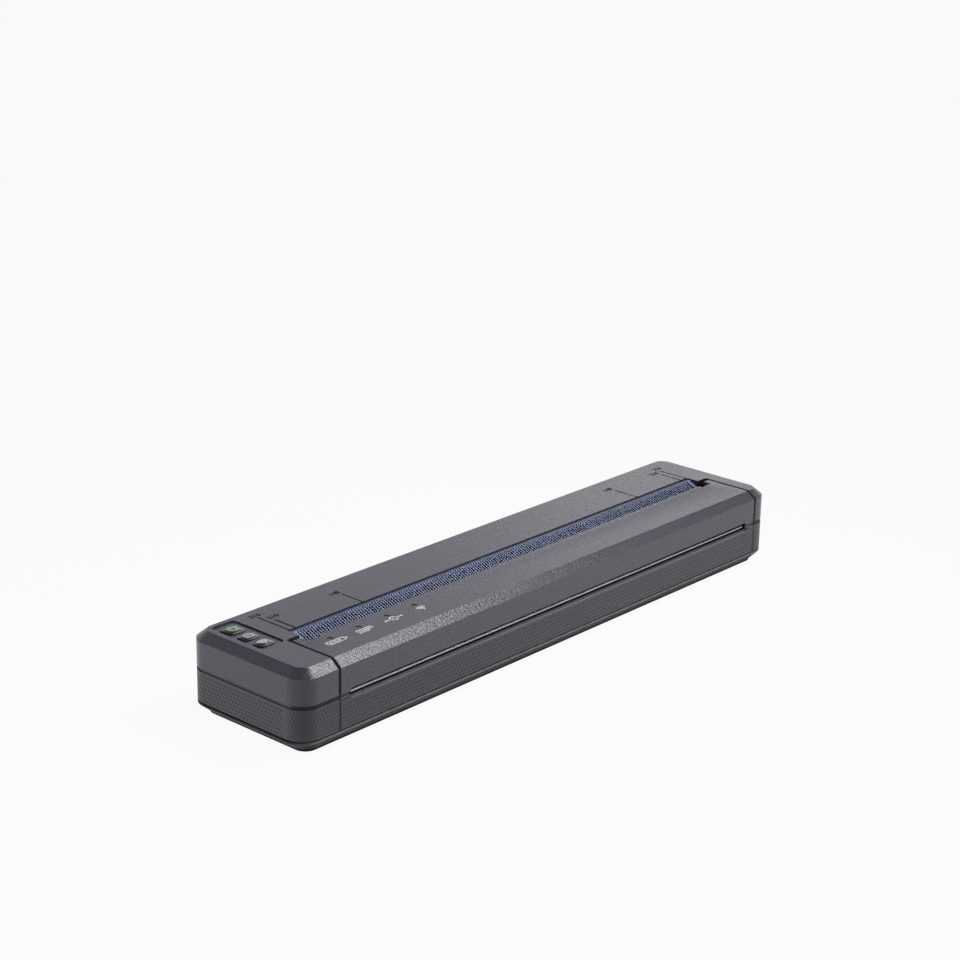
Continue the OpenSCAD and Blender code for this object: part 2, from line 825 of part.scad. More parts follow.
module front_panel() {
    y1 = y_front + wall;
    exit_u = head_u0 - exit_gap;
    color(dotted_grey) difference() {
        union() {
            block(cover_x0, cover_x1, y_front, y1, lower_z0, groove_low);
            block(cover_x0, cover_x1, y_front + groove_d, y1, groove_low - fit, groove_top - slide_gap);
        }
        prism_y(y_front - over, y1 + over) slot_shape(0);
        prism_y(y_front - over, y_front + slot_rim_d) slot_shape(slot_rim);
    }
    color(black) prism_x(slot_x0 + slot_r, slot_x1 - slot_r) polygon([
        [y1 - exit_lap, slot_z0],
        on_path(exit_u, -path_low - exit_low),
        on_path(exit_u, -path_low - exit_low - exit_t),
        [y1 - exit_lap, slot_z0 - exit_deep]
    ]);
    color(black) for (x = catch_xs) block(x, x + catch_w, y1 - fit,
        catch_y + catch_pin_r + 2 * catch_t + fit, catch_z0 - catch_base_h, catch_z0);
}

// Plan of the opening for the cover and the feed mouth
module mouth_plan() {
    deep = mouth_y1 - notch_y1 + over;
    translate([seam_l, y_front - over]) square([seam_r - seam_l, notch_y1 - y_front + over]);
    translate([mouth_x0, notch_y1 - over]) square([mouth_x1 - mouth_x0 - mouth_r, deep]);
    translate([mouth_x0, notch_y1 - over]) square([mouth_x1 - mouth_x0, deep - mouth_r]);
    translate([mouth_x1 - mouth_r, mouth_y1 - mouth_r]) circle(mouth_r);
}

module button_holes() {
    half_x = button_w / 2 + slide_gap;
    for (i = [0:2]) {
        half_y = button_hs[i] / 2 + slide_gap;
        translate([0, 0, panel_z - panel_t - over]) linear_extrude(panel_t + 2 * over)
            round_rect(button_x - half_x, button_x + half_x, button_ys[i] - half_y, button_ys[i] + half_y,
                button_r + slide_gap);
    }
}

module paper_mark(x, mark_l) {
    block(x - mark_w / 2, x + mark_w / 2, mark_y0, mark_y0 + mark_l, case_h - mark_d, case_h + over);
}

module upper_case() {
    boss_z1 = case_h - boss_top;
    seam_z0 = groove_top + seam_up;
    color(charcoal) difference() {
        union() {
            difference() {
                union() {
                    upper_solid(groove_top, 0);
                    ringed([
                        case_points(groove_z, groove_d, groove_d, corner_r - groove_d),
                        case_points(groove_top + fit, groove_d, groove_d, corner_r - groove_d)
                    ]);
                }
                upper_solid(groove_z - over, wall);
            }
            intersection() {
                upper_solid(seam_z0, wall / 2);
                union() {
                    block(seam_l - wall, seam_l, y_front, notch_y1 + wall, seam_z0, case_h);
                    block(seam_r, seam_r + wall, y_front, notch_y1 + wall, seam_z0, case_h);
                }
            }
            for (p = corner_spots()) post(p, groove_z, boss_z1, boss_r);
            corner_webs(groove_z, boss_z1);
            for (p = post_spots()) post(p, switch_z + switch_board_t, panel_z - panel_t + fit, post_r);
            block(panel_x0 - panel_rim, panel_x1 + panel_rim, panel_y0 - panel_rim, panel_y1 + panel_rim,
                panel_z - panel_t, case_h - wall + fit);
        }
        translate([0, 0, seam_z0 - 2 * over]) linear_extrude(case_h) mouth_plan();
        block(seam_l, seam_r, y_front - over, y_front + wall + over, groove_z - over, seam_z0);
        translate([0, 0, panel_z]) linear_extrude(case_h)
            round_rect(panel_x0, panel_x1, panel_y0, panel_y1, panel_r);
        button_holes();
        for (p = corner_spots()) post(p, groove_z - over, boss_z1 - over, case_screw_d / 2);
        for (p = post_spots()) post(p, switch_z, switch_z + switch_board_t + post_grip + fit,
            small_screw_d / 2);
        rod_x(seam_l - wall - over, seam_l + over, hinge_y, hinge_z, hinge_d / 2);
        rod_x(seam_r - over, seam_r + wall + over, hinge_y, hinge_z, hinge_d / 2);
        for (i = [0:len(paper_widths) - 1]) {
            paper_mark(paper_mid + paper_shifts[i] - paper_widths[i] / 2, mark_lens_l[i]);
            paper_mark(paper_mid + paper_shifts[i] + paper_widths[i] / 2, mark_lens_r[i]);
        }
    }
}

// Feed ramp: a comb of ribs drawn across the slope, a lip over its upper end and a leg under it

function comb() = concat(
    [[ramp_x0, -rib_h - ramp_t], [ramp_x0, 0], [rib_x0, 0]],
    [for (i = [0:rib_count - 1]) let(x = rib_x0 + i * rib_pitch) each
        [[x, -rib_h], [x + rib_pitch - rib_w, -rib_h], [x + rib_pitch - rib_w, 0], [x + rib_pitch, 0]]],
    [[ramp_x1, 0], [ramp_x1, -rib_h - ramp_t]]);

module feed_ramp() {
    rib_end = ramp_u1 - rib_stop;
    color(rib_blue) difference() {
        union() {
            on_slope() translate([0, rib_end, 0]) rotate([90, 0, 0]) linear_extrude(rib_end - ramp_u0)
                polygon(comb());
            prism_x(ramp_x0, ramp_x1) polygon([
                on_path(rib_end - rib_join, -rib_h - lip_in),
                [ramp_y1 - lip_edge, lip_z - lip_in],
                [ramp_y1 + lip_edge, lip_z],
                [ramp_y1 + lip_w, lip_z],
                [ramp_y1 + lip_w, lip_z - lip_t],
                [leg_y1, lip_z - lip_t - rib_join],
                [leg_y1, leg_z0],
                [leg_y0, leg_z0],
                on_path(rib_end - rib_join, lip_in - rib_h - ramp_t)
            ]);
        }
        on_slope()
            translate([paper_mid - sensor_w / 2 - sensor_gap, sensor_u0 - sensor_gap, -rib_h - ramp_t - over])
            cube([sensor_w + 2 * sensor_gap, sensor_l + 2 * sensor_gap, rib_h + ramp_t + 2 * over]);
        block(rib_x1 - rib_w / 2, rib_x1 + rib_w / 2, y_front, ramp_y1, nip_z, lip_z + over);
    }
}

// Chassis inside the case: two side plates, a wall under the ramp and a sprung shelf under the head

function plate_outline() = [
    [path_y(head_u0, -path_low - plate_foot), floor_z],
    on_path(head_u0 - plate_back, -path_low - plate_edge),
    on_path(head_u0 - plate_back, -path_low),
    on_path(ramp_u1 - plate_end, -path_low),
    [leg_y0, leg_z0],
    [leg_y1, leg_z0],
    [leg_y1, floor_z]
];

module plate_bores(x0, x1) {
    rod_x(x0, x1, pivot_y, pivot_z, pivot_d / 2 + run);
    rod_x(x0, x1, idler_y, idler_z, axle_d / 2);
    rod_x(x0, x1, reduce_y, reduce_z, axle_d / 2);
    rod_x(x0, x1, motor_y, motor_z, motor_boss_d / 2 + fit);
    for (a = motor_ear_as) rod_x(x0, x1, motor_ear_at(a, motor_ear)[0], motor_ear_at(a, motor_ear)[1],
        small_screw_d / 2);
}

module chassis() {
    x0 = side_x0;
    x1 = side_x1 + plate_t;
    foot_z1 = floor_z + chassis_foot_h;
    color(black) difference() {
        union() {
            prism_x(x0, x0 + plate_t) polygon(plate_outline());
            prism_x(side_x1, x1) polygon(plate_outline());
            block(x0, x1, leg_y0, leg_y1, floor_z, leg_z0);
            on_slope() translate([x0, shelf_u0, shelf_n - shelf_t])
                cube([x1 - x0, shelf_u1 - shelf_u0, shelf_t]);
            block(x0, x1, web_y, web_y + web_t, floor_z, path_z(shelf_u0 + web_in, shelf_n - shelf_t / 2));
            for (p = chassis_spots()) {
                post(p, floor_z, foot_z1, boss_r);
                block(p[0] - boss_r, p[0] + boss_r, p[1], web_y + fit, floor_z, foot_z1);
            }
            on_slope() for (i = [0:spring_count - 1]) translate([spring_x(i), spring_u, shelf_n - fit])
                cylinder(h = spring_post_h, d = spring_d - 2 * spring_wire - 2 * slide_gap);
            prism_x(paper_mid - sensor_w / 2, paper_mid + sensor_w / 2) polygon([
                on_path(sensor_u0, sensor_n),
                on_path(sensor_u0 + sensor_l, sensor_n),
                [leg_y0 + fit, leg_z0 - bracket_drop],
                [leg_y0 + fit, leg_z0 - bracket_drop - bracket_root],
                on_path(sensor_u0 + sensor_l, sensor_n - bracket_t),
                on_path(sensor_u0, sensor_n - bracket_t)
            ]);
        }
        block(motor_x0 - over, side_x1, leg_y0 - over, leg_y1 + over, floor_z,
            motor_z + motor_d / 2 + motor_room);
        rod_x(motor_x0 - over, side_x1, motor_y, motor_z, motor_d / 2 + motor_room);
        plate_bores(side_x1 - over, x1 + over);
        rod_x(x0 - over, x0 + plate_t + over, pivot_y, pivot_z, pivot_d / 2 + run);
        for (p = chassis_spots()) post(p, floor_z - over, foot_z1, case_screw_d / 2);
    }
}

function spring_x(i) = head_x0 + spring_edge
    + i * (head_x1 - head_x0 - 2 * spring_edge) / (spring_count - 1);

module hinge_pins() {
    color(steel) {
        rod_x(seam_l - hinge_out, seam_l + seam / 2 + hinge_in, hinge_y, hinge_z, hinge_d / 2);
        rod_x(seam_r - seam / 2 - hinge_in, seam_r + hinge_out, hinge_y, hinge_z, hinge_d / 2);
    }
}

module gear_axles() {
    color(steel) {
        rod_x(side_x1, train_x + gear_w + axle_tip, idler_y, idler_z, axle_d / 2);
        rod_x(side_x1, outer_x + gear_w + axle_tip, reduce_y, reduce_z, axle_d / 2);
    }
}

module drive_motor() {
    ear_x0 = motor_x1 - motor_ear_t;
    plug_x0 = motor_x0 + motor_plug_in;
    plug_y0 = motor_y + motor_d / 2 - motor_plug_root;
    color(steel) difference() {
        union() {
            rod_x(motor_x0, motor_x1, motor_y, motor_z, motor_d / 2);
            rod_x(motor_x1 - fit, motor_x1 + plate_t, motor_y, motor_z, motor_boss_d / 2);
            for (a = motor_ear_as) hull() {
                rod_x(ear_x0, motor_x1, motor_ear_at(a, motor_ear)[0], motor_ear_at(a, motor_ear)[1],
                    motor_ear_r, $fn = 32);
                rod_x(ear_x0, motor_x1, motor_ear_at(a, motor_ear_root)[0], motor_ear_at(a, motor_ear_root)[1],
                    motor_ear_root_r, $fn = 32);
            }
            block(plug_x0, plug_x0 + motor_plug_l, plug_y0, plug_y0 + motor_plug_root + motor_plug_out,
                motor_z - motor_plug_w / 2, motor_z + motor_plug_w / 2);
        }
        for (a = motor_ear_as) rod_x(ear_x0 - over, motor_x1 + over, motor_ear_at(a, motor_ear)[0],
            motor_ear_at(a, motor_ear)[1], small_screw_d / 2 + run);
        rod_x(motor_x0 + over, motor_x1 + plate_t + over, motor_y, motor_z, motor_shaft_d / 2 + run);
    }
}

module screw_z(p, z0, z1, d, head_d, head_t) {
    difference() {
        post(p, z0, z0 + head_t, head_d / 2);
        translate([p[0], p[1], z0 - over]) cylinder(h = over + head_t / 2, d = d * socket_share, $fn = 6);
    }
    post(p, z0 + head_t - thin, z1, d / 2);
}

module motor_screws() {
    x0 = motor_x1 - motor_ear_t;
    color(steel) for (a = motor_ear_as) {
        rod_x(x0 - small_head_t, x0, motor_ear_at(a, motor_ear)[0], motor_ear_at(a, motor_ear)[1],
            small_head_d / 2);
        rod_x(x0 - thin, motor_x1 + plate_t, motor_ear_at(a, motor_ear)[0], motor_ear_at(a, motor_ear)[1],
            small_screw_d / 2);
    }
}

// One coil spring as a tube of flat-ended turns

function coil_point(t, h) = let(a = 360 * spring_turns * t, r = (spring_d - spring_wire) / 2)
    [r * cos(a), r * sin(a), spring_wire / 2 + (h - spring_wire) * t];

module coil(h) {
    n = spring_turns * coil_steps;
    rings = [for (k = [0:n]) let(p = coil_point(k / n, h), a = 360 * spring_turns * k / n)
        [for (j = [0:coil_sides - 1]) let(b = 360 * j / coil_sides)
            p + spring_wire / 2 * [cos(b) * cos(a), cos(b) * sin(a), sin(b)]]];
    faces = concat(
        [[for (j = [0:coil_sides - 1]) j]],
        [for (k = [0:n - 1], j = [0:coil_sides - 1]) each let(j1 = (j + 1) % coil_sides,
            q = k * coil_sides, q1 = q + coil_sides) [[q + j, q1 + j, q1 + j1], [q + j, q1 + j1, q + j1]]],
        [[for (j = [coil_sides - 1:-1:0]) n * coil_sides + j]]);
    polyhedron([for (ring = rings) each ring], faces);
}

module head_springs() {
    h = sink_n - sink_t - spring_gap - shelf_n;
    color(steel) on_slope() for (i = [0:spring_count - 1])
        translate([spring_x(i), spring_u, shelf_n]) coil(h);
}

// Boards and sockets

module board_bores(spots, z) {
    for (p = spots) post(p, z - over, z + board_t + over, small_screw_d / 2 + run);
}

module main_board() {
    top = board_z + board_t;
    color(board_green) difference() {
        union() {
            block(board_x0, board_x1, board_y0, board_y1, board_z, top);
            for (s = chip_shares) {
                x0 = board_x0 + s * (board_x1 - board_x0);
                block(x0, x0 + chip_l, board_y0 + chip_in, board_y0 + chip_in + chip_w,
                    top - thin, top + chip_h);
            }
        }
        board_bores(board_spots(), board_z);
    }
}

module wireless_module() {
    x0 = board_x0 + radio_share * (board_x1 - board_x0);
    color(steel) block(x0, x0 + radio_l, board_y0 + radio_in, board_y1 - radio_in,
        board_z + board_t, board_z + board_t + radio_h);
}

module head_connector() {
    x0 = board_x0 + plug_share * (board_x1 - board_x0);
    color(natural) block(x0, x0 + plug_l, board_y0 + plug_in, board_y0 + plug_in + plug_w,
        board_z + board_t, board_z + board_t + plug_h);
}

module board_screws() {
    color(steel) {
        for (p = board_spots()) small_screw(p, board_z + board_t);
        for (p = port_spots()) small_screw(p, port_z + board_t);
    }
}

module small_screw(p, z) {
    post(p, z, z + small_head_t, small_head_d / 2);
    post(p, z - board_t - small_grip, z + thin, small_screw_d / 2);
}

module port_board() {
    color(board_green) difference() {
        union() {
            block(port_x1 - port_depth, port_x1, port_y0, port_y1, port_z, port_z + board_t);
            block(port_x1 - port_depth - port_wide, port_x1, port_step, port_y1, port_z, port_z + board_t);
        }
        board_bores(port_spots(), port_z);
    }
}

module usb_socket() {
    z = port_z + board_t;
    mid = z + usb_h / 2;
    x1 = port_x1 + port_out;
    tongue = usb_w / 2 - usb_tongue_side;
    color(steel) difference() {
        block(x1 - usb_l, x1, usb_y - usb_w / 2, usb_y + usb_w / 2, z, z + usb_h);
        block(x1 - usb_l + usb_wall, x1 + over, usb_y - usb_w / 2 + usb_wall, usb_y + usb_w / 2 - usb_wall,
            z + usb_wall, z + usb_h - usb_wall);
    }
    color(black) block(x1 - usb_l + usb_wall - thin, x1 - usb_tongue_in, usb_y - tongue, usb_y + tongue,
        mid - usb_tongue_t / 2, mid + usb_tongue_t / 2);
}

module power_socket() {
    z = port_z + board_t;
    x1 = port_x1 + port_out;
    color(black) difference() {
        block(x1 - jack_l, x1, jack_y - jack_w / 2, jack_y + jack_w / 2, z, z + jack_h);
        rod_x(x1 - jack_l + jack_back_t, x1 + over, jack_y, z + jack_h / 2, jack_hole_d / 2);
    }
    color(steel) rod_x(x1 - jack_l + jack_back_t - thin, x1 - jack_pin_in, jack_y, z + jack_h / 2,
        jack_pin_d / 2);
}

// Buttons and their switches

// Rings of a button from its skirt to its crown: height and growth over the button's outline
function button_rings() = concat(
    [[button_z0, button_skirt],
     [button_z0 + skirt_t, button_skirt],
     [button_z0 + skirt_t, 0],
     [panel_z + button_side - button_crown / 2, 0]],
    [for (s = crown_shares) [panel_z + button_side + s[0] * button_crown, s[1] * button_crown]]);

module button(i) {
    y = button_ys[i];
    half_x = button_w / 2;
    half_y = button_hs[i] / 2;
    color(charcoal) {
        ringed([for (ring = button_rings()) rect_points(button_x, y, half_x + ring[1], half_y + ring[1],
            max(button_r + min(ring[1], 0) / 2, button_r / 3), ring[0])]);
        post([button_x, y], stem_z0, stem_z0 + stem_l + fit, stem_d / 2);
    }
}

module power_button() {
    button(0);
}

module feed_button() {
    button(1);
}

module wireless_button() {
    button(2);
}

module button_board() {
    y0 = post_spots()[0][1] - switch_board_end;
    y1 = post_spots()[1][1] + switch_board_end;
    color(board_green) difference() {
        block(button_x - switch_board_w / 2, button_x + switch_board_w / 2, y0, y1,
            switch_z, switch_z + switch_board_t);
        for (p = post_spots())
            post(p, switch_z - over, switch_z + switch_board_t + over, small_screw_d / 2 + run);
    }
}

module button_switches() {
    z = switch_z + switch_board_t;
    color(black) for (y = button_ys) {
        block(button_x - switch_w / 2, button_x + switch_w / 2, y - switch_d / 2, y + switch_d / 2,
            z, z + switch_h);
        post([button_x, y], z + switch_h - thin, z + switch_h + plunger_h, plunger_d / 2);
    }
}

module button_board_screws() {
    color(steel) for (p = post_spots()) {
        post(p, switch_z - small_head_t, switch_z, small_head_d / 2);
        post(p, switch_z - thin, switch_z + switch_board_t + post_grip, small_screw_d / 2);
    }
}

// Battery pack, which drops out of the tray as one piece

module battery_case() {
    color(tray_grey) difference() {
        union() {
            translate([0, 0, pack_z0]) linear_extrude(lid_t)
                round_rect(pack_x0, pack_x1, pack_y0, pack_y1, lid_r);
            block(pack_x0 + lid_rim, pack_x1 - lid_rim, pack_y0 + lid_rim, pack_y1 - lid_rim,
                pack_z0 + lid_t - fit, pack_z1);
        }
        block(pack_x0 + pack_skin, pack_x1 - pack_skin, pack_y0 + pack_skin, pack_y1 - pack_skin,
            pack_z0 + lid_t + pack_floor, pack_z1 + over);
        for (x = [pack_x0 + grip_in, pack_x1 - grip_in]) translate([x, pack_y, pack_z0 - over])
            linear_extrude(over + grip_d) round_rect(-grip_l / 2, grip_l / 2, -grip_w / 2, grip_w / 2, lid_r);
    }
}

module battery_cells() {
    color(rib_blue) for (i = [0:cell_count - 1]) {
        x0 = pack_x0 + pack_skin + cell_gap + i * (cell_l + cell_gap);
        rod_x(x0, x0 + cell_l - cell_cap_h, pack_y, pack_z, cell_d / 2);
        rod_x(x0 + cell_l - cell_cap_h - thin, x0 + cell_l, pack_y, pack_z, cell_cap_r);
    }
}

module battery_terminals() {
    x0 = pack_x1 - lid_rim;
    color(gold) for (y = terminal_ys) block(x0, x0 + terminal_t, y - terminal_w / 2, y + terminal_w / 2,
        pack_z1 - terminal_h, pack_z1 - terminal_low);
}

module battery_contacts() {
    x0 = pack_x1 - lid_rim + terminal_t + bay_gap;
    color(gold) for (y = terminal_ys) {
        block(x0, x0 + terminal_t, y - contact_w / 2, y + contact_w / 2, floor_z, pack_z1);
        block(x0, x0 + contact_foot, y - contact_w / 2, y + contact_w / 2, floor_z, floor_z + terminal_t);
    }
}

module paper_sensor() {
    color(black) on_slope() translate([paper_mid - sensor_w / 2, sensor_u0, sensor_n])
        cube([sensor_w, sensor_l, sensor_t]);
}

module cover_catches() {
    y0 = catch_y - catch_pin_r - catch_t;
    y1 = catch_y + catch_pin_r + catch_t;
    color(steel) for (x = catch_xs) {
        block(x, x + catch_w, y0, y0 + catch_t, catch_z0, catch_z - catch_front_drop);
        block(x, x + catch_w, y0, y1 + catch_t, catch_z0, catch_z0 + catch_t);
        block(x, x + catch_w, y1, y1 + catch_t, catch_z0, catch_z + catch_rear_rise);
    }
}

module rubber_feet() {
    color(black) for (p = foot_spots()) post(p, 0, foot_out + foot_t, foot_d / 2 - fit);
}

module case_screws() {
    color(steel) for (p = corner_spots())
        screw_z(p, foot_out + fit, case_h - boss_top - screw_end, case_screw_d, screw_head_d, screw_head_t);
}

module chassis_screws() {
    color(steel) for (p = chassis_spots())
        screw_z(p, foot_out + hatch_in, floor_z + chassis_grip, case_screw_d, screw_head_d, flat_head_t);
}

// Cover and what turns with it

module cover_plan() {
    wide = cover_x1 - cover_x0;
    front = y_front - over;
    translate([cover_x0, front]) square([wide, cover_y1 - step_d - front]);
    translate([cover_x0, front]) square([ear_l, ear_y1 - front]);
    translate([ear_x1, front]) square([ear_r, ear_y1 - front]);
    translate([ear_x0 + step_l, front]) square([ear_x1 - ear_x0 - 2 * step_l, cover_y1 - front]);
}

module cover_end(x0, x1) {
    low = hinge_z - ear_rear_share * ear_boss_r;
    prism_x(x0, x1) difference() {
        union() {
            polygon(front_outline(cover_wall / 2, groove_top, ear_y1 - ear_short));
            translate([hinge_y, hinge_z]) circle(ear_boss_r);
        }
        polygon([
            [y_rear, 0],
            [y_front + over, 0],
            [y_front + over, groove_top - fit],
            on_path(head_u0 - end_back, path_low),
            on_path(end_u1, path_low),
            [hinge_y - ear_boss_r, hinge_z - ear_front_share * ear_boss_r],
            [hinge_y, hinge_z - ear_boss_r],
            [hinge_y + ear_side_share * ear_boss_r, low],
            [y_rear, low]
        ]);
    }
}

module release_cover() {
    color(charcoal) difference() {
        union() {
            intersection() {
                prism_x(cover_x0, cover_x1) difference() {
                    polygon(front_outline(0, groove_top, y_rear));
                    polygon(front_outline(cover_wall, 0, y_rear + over));
                }
                linear_extrude(case_h + over) cover_plan();
            }
            cover_end(cover_x0, cover_x0 + cover_end_t);
            cover_end(cover_x1 - cover_end_t, cover_x1);
            ear(cover_x0, ear_x0);
            ear(ear_x1, cover_x1);
            prism_x(slot_x0 + seat_end, slot_x1 - seat_end) polygon([
                on_path(bar_u1 - seat_l, seat_n),
                on_path(bar_u1, seat_n),
                on_path(bar_u1, seat_n + seat_t),
                [y_front + cover_wall - fit, path_z(bar_u1, seat_n + seat_t) + seat_rise],
                [y_front + cover_wall - fit, path_z(bar_u1 - seat_l, seat_n)]
            ]);
            for (i = [0:guide_rib_count - 1]) cover_rib(ear_x0 + guide_rib_start + i * guide_rib_pitch);
        }
        prism_y(y_front - over, y_front + cover_wall + over) slot_shape(0);
        for (i = [0:light_count - 1])
            post([light_x0 + i * light_pitch, light_y], case_h - cover_wall - over, case_h + over,
                light_d / 2);
        rod_x(cover_x0 - over, cover_x0 + hinge_in + body_gap, hinge_y, hinge_z, hinge_d / 2 + run);
        rod_x(cover_x1 - hinge_in - body_gap, cover_x1 + over, hinge_y, hinge_z, hinge_d / 2 + run);
    }
    color(charcoal) {
        rod_x(cover_x0 + cover_end_t - fit, catch_xs[0] + catch_w, catch_y, catch_z, catch_pin_r);
        rod_x(catch_xs[1], cover_x1 - cover_end_t + fit, catch_y, catch_z, catch_pin_r);
    }
}

module ear(x0, x1) {
    rod_x(x0, x1, hinge_y, hinge_z, ear_boss_r);
    block(x0, x1, hinge_y - ear_boss_r, ear_y1 - ear_short, hinge_z, case_h - cover_wall + fit);
}

module cover_rib(x) {
    u0 = guide_u0 + guide_t + guide_rib_gap;
    u1 = guide_u1 - guide_t - guide_rib_gap;
    n = path_high + guide_t;
    prism_x(x, x + guide_rib_t) polygon([
        on_path(u0, n),
        on_path(u1, n),
        [path_y(u1, n), case_h - cover_wall + fit],
        [path_y(u0, n) - guide_rib_lean, case_h - cover_wall + fit]
    ]);
}

module tear_bar() {
    color(steel) on_slope() translate([slot_x0 + bar_end_l, bar_u1 - bar_l, bar_n])
        cube([slot_x1 - slot_x0 - bar_end_l - bar_end_r, bar_l, bar_t]);
}

// Guide under the cover, with the cheeks that carry the platen
module cover_guide() {
    top = path_high + guide_t;
    cheek_n = path_low + cheek_low;
    roof = case_h - cover_wall;
    color(black) difference() {
        union() {
            prism_x(side_x0, side_x1 + plate_t) polygon([
                on_path(guide_u0, path_high),
                on_path(guide_u1, path_high),
                on_path(guide_u1, top + guide_lip),
                on_path(guide_u1 - guide_t, top + guide_lip),
                on_path(guide_u1 - guide_t, top),
                on_path(guide_u0 + guide_t, top),
                on_path(guide_u0 + guide_t, top + guide_rise),
                on_path(guide_u0, top + guide_nose)
            ]);
            for (x = [side_x0, side_x1]) prism_x(x, x + plate_t) polygon([
                on_path(cheek_u0, cheek_n),
                on_path(guide_u1, cheek_n),
                on_path(guide_u1, path_high + cheek_up),
                [path_y(guide_u1, path_high + cheek_up), roof],
                [y_front + chamfer_in + top_run(cover_wall) + cheek_in, roof],
                [platen_y - platen_r, case_h - chamfer_drop - cheek_drop],
                [platen_y - platen_r, platen_z - cheek_foot]
            ]);
        }
        for (x = [side_x0, side_x1]) rod_x(x - over, x + plate_t + over, platen_y, platen_z, bush_d / 2);
    }
}

module platen_bushes() {
    color(natural) for (x = [side_x0, side_x1]) difference() {
        rod_x(x, x + plate_t, platen_y, platen_z, bush_d / 2);
        rod_x(x - over, x + plate_t + over, platen_y, platen_z, shaft_d / 2 + run);
    }
}

module status_lights() {
    color(black) for (i = [0:light_count - 1])
        post([light_x0 + i * light_pitch, light_y], case_h - cover_wall, case_h, light_d / 2);
}

module light_board() {
    roof = case_h - cover_wall;
    color(board_green) block(light_x0 - light_board_end,
        light_x0 + (light_count - 1) * light_pitch + light_board_end,
        light_y - light_board_w / 2, light_y + light_board_w / 2, roof - light_board_t, roof);
}

module platen_roller() {
    color(black) difference() {
        rod_x(side_x0 + plate_t + roller_gap, side_x1 - roller_gap, platen_y, platen_z, platen_r);
        rod_x(side_x0, side_x1 + plate_t, platen_y, platen_z, shaft_d / 2);
    }
}

module platen_shaft() {
    color(steel) rod_x(side_x0 - shaft_out, train_x + gear_w, platen_y, platen_z, shaft_d / 2);
}

module platen_gear() {
    color(natural) difference() {
        gear(platen_teeth, phase_platen, train_x, platen_y, platen_z);
        rod_x(train_x - over, train_x + gear_w + over, platen_y, platen_z, shaft_d / 2);
    }
}

module idler_gear() {
    color(natural) difference() {
        gear(idler_teeth, phase_idler, train_x, idler_y, idler_z);
        rod_x(train_x - over, train_x + gear_w + over, idler_y, idler_z, axle_d / 2 + run);
    }
}

module reduction_gear() {
    color(natural) difference() {
        union() {
            gear(small_teeth, phase_small, train_x, reduce_y, reduce_z);
            rod_x(train_x, outer_x + gear_w, reduce_y, reduce_z, hub_r);
            gear(big_teeth, phase_big, outer_x, reduce_y, reduce_z);
        }
        rod_x(train_x - over, outer_x + gear_w + over, reduce_y, reduce_z, axle_d / 2 + run);
    }
}

module motor_pinion() {
    color(gold) {
        gear(pinion_teeth, phase_pinion, outer_x, motor_y, motor_z);
        rod_x(motor_x0 + over + motor_shaft_gap, outer_x + gear_w + motor_shaft_tip, motor_y, motor_z,
            motor_shaft_d / 2);
    }
}

// Print head, tilted along the paper path and pressed up by the springs

module print_head() {
    color(natural) on_slope() translate([head_x0, head_u0, sink_n])
        cube([head_x1 - head_x0, head_u1 - head_u0, ceramic_t]);
}

module heat_sink() {
    color(steel) difference() {
        on_slope() translate([head_x0, head_u0, sink_n - sink_t])
            cube([head_x1 - head_x0, sink_u1 - head_u0, sink_t]);
        rod_x(head_x0 - over, head_x0 + pivot_in, pivot_y, pivot_z, pivot_d / 2);
        rod_x(head_x1 - pivot_in, head_x1 + over, pivot_y, pivot_z, pivot_d / 2);
    }
}

module head_pivots() {
    color(steel) {
        rod_x(side_x0, head_x0 + pivot_in, pivot_y, pivot_z, pivot_d / 2);
        rod_x(head_x1 - pivot_in, side_x1 + plate_t, pivot_y, pivot_z, pivot_d / 2);
    }
}

base_tray();
lower_case();
front_panel();
upper_case();
feed_ramp();
chassis();
hinge_pins();
gear_axles();
drive_motor();
motor_screws();
head_springs();
main_board();
wireless_module();
head_connector();
board_screws();
port_board();
usb_socket();
power_socket();
button_board();
button_switches();
button_board_screws();
battery_contacts();
paper_sensor();
cover_catches();
rubber_feet();
case_screws();
chassis_screws();
release_cover();
tear_bar();
cover_guide();
platen_bushes();
status_lights();
light_board();
platen_roller();
platen_shaft();
platen_gear();
idler_gear();
reduction_gear();
motor_pinion();
print_head();
heat_sink();
head_pivots();
power_button();
feed_button();
wireless_button();
battery_case();
battery_cells();
battery_terminals();
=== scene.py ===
"""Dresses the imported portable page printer: plastics, printed signs, floor, lamps and camera."""

import json
import math

import bmesh
import bpy
from mathutils import Matrix, Vector


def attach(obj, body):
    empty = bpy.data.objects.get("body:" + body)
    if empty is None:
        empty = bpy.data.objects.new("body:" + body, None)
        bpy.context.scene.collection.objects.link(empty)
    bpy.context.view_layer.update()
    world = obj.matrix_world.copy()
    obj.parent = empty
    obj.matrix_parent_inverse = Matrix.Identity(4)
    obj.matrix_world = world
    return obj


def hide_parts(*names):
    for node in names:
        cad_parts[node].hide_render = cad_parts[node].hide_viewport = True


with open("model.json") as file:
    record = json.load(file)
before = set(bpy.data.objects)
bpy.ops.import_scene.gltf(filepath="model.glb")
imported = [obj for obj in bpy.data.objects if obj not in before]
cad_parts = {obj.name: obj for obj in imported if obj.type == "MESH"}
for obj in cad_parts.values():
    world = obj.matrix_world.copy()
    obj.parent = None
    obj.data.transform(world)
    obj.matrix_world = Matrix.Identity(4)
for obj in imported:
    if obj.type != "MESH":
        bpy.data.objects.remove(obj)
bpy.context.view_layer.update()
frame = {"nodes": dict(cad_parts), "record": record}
record = frame["record"]
MM = 0.001
MM_PER_METRE = 1000.0

scene = bpy.context.scene
scene.view_settings.view_transform = "Standard"

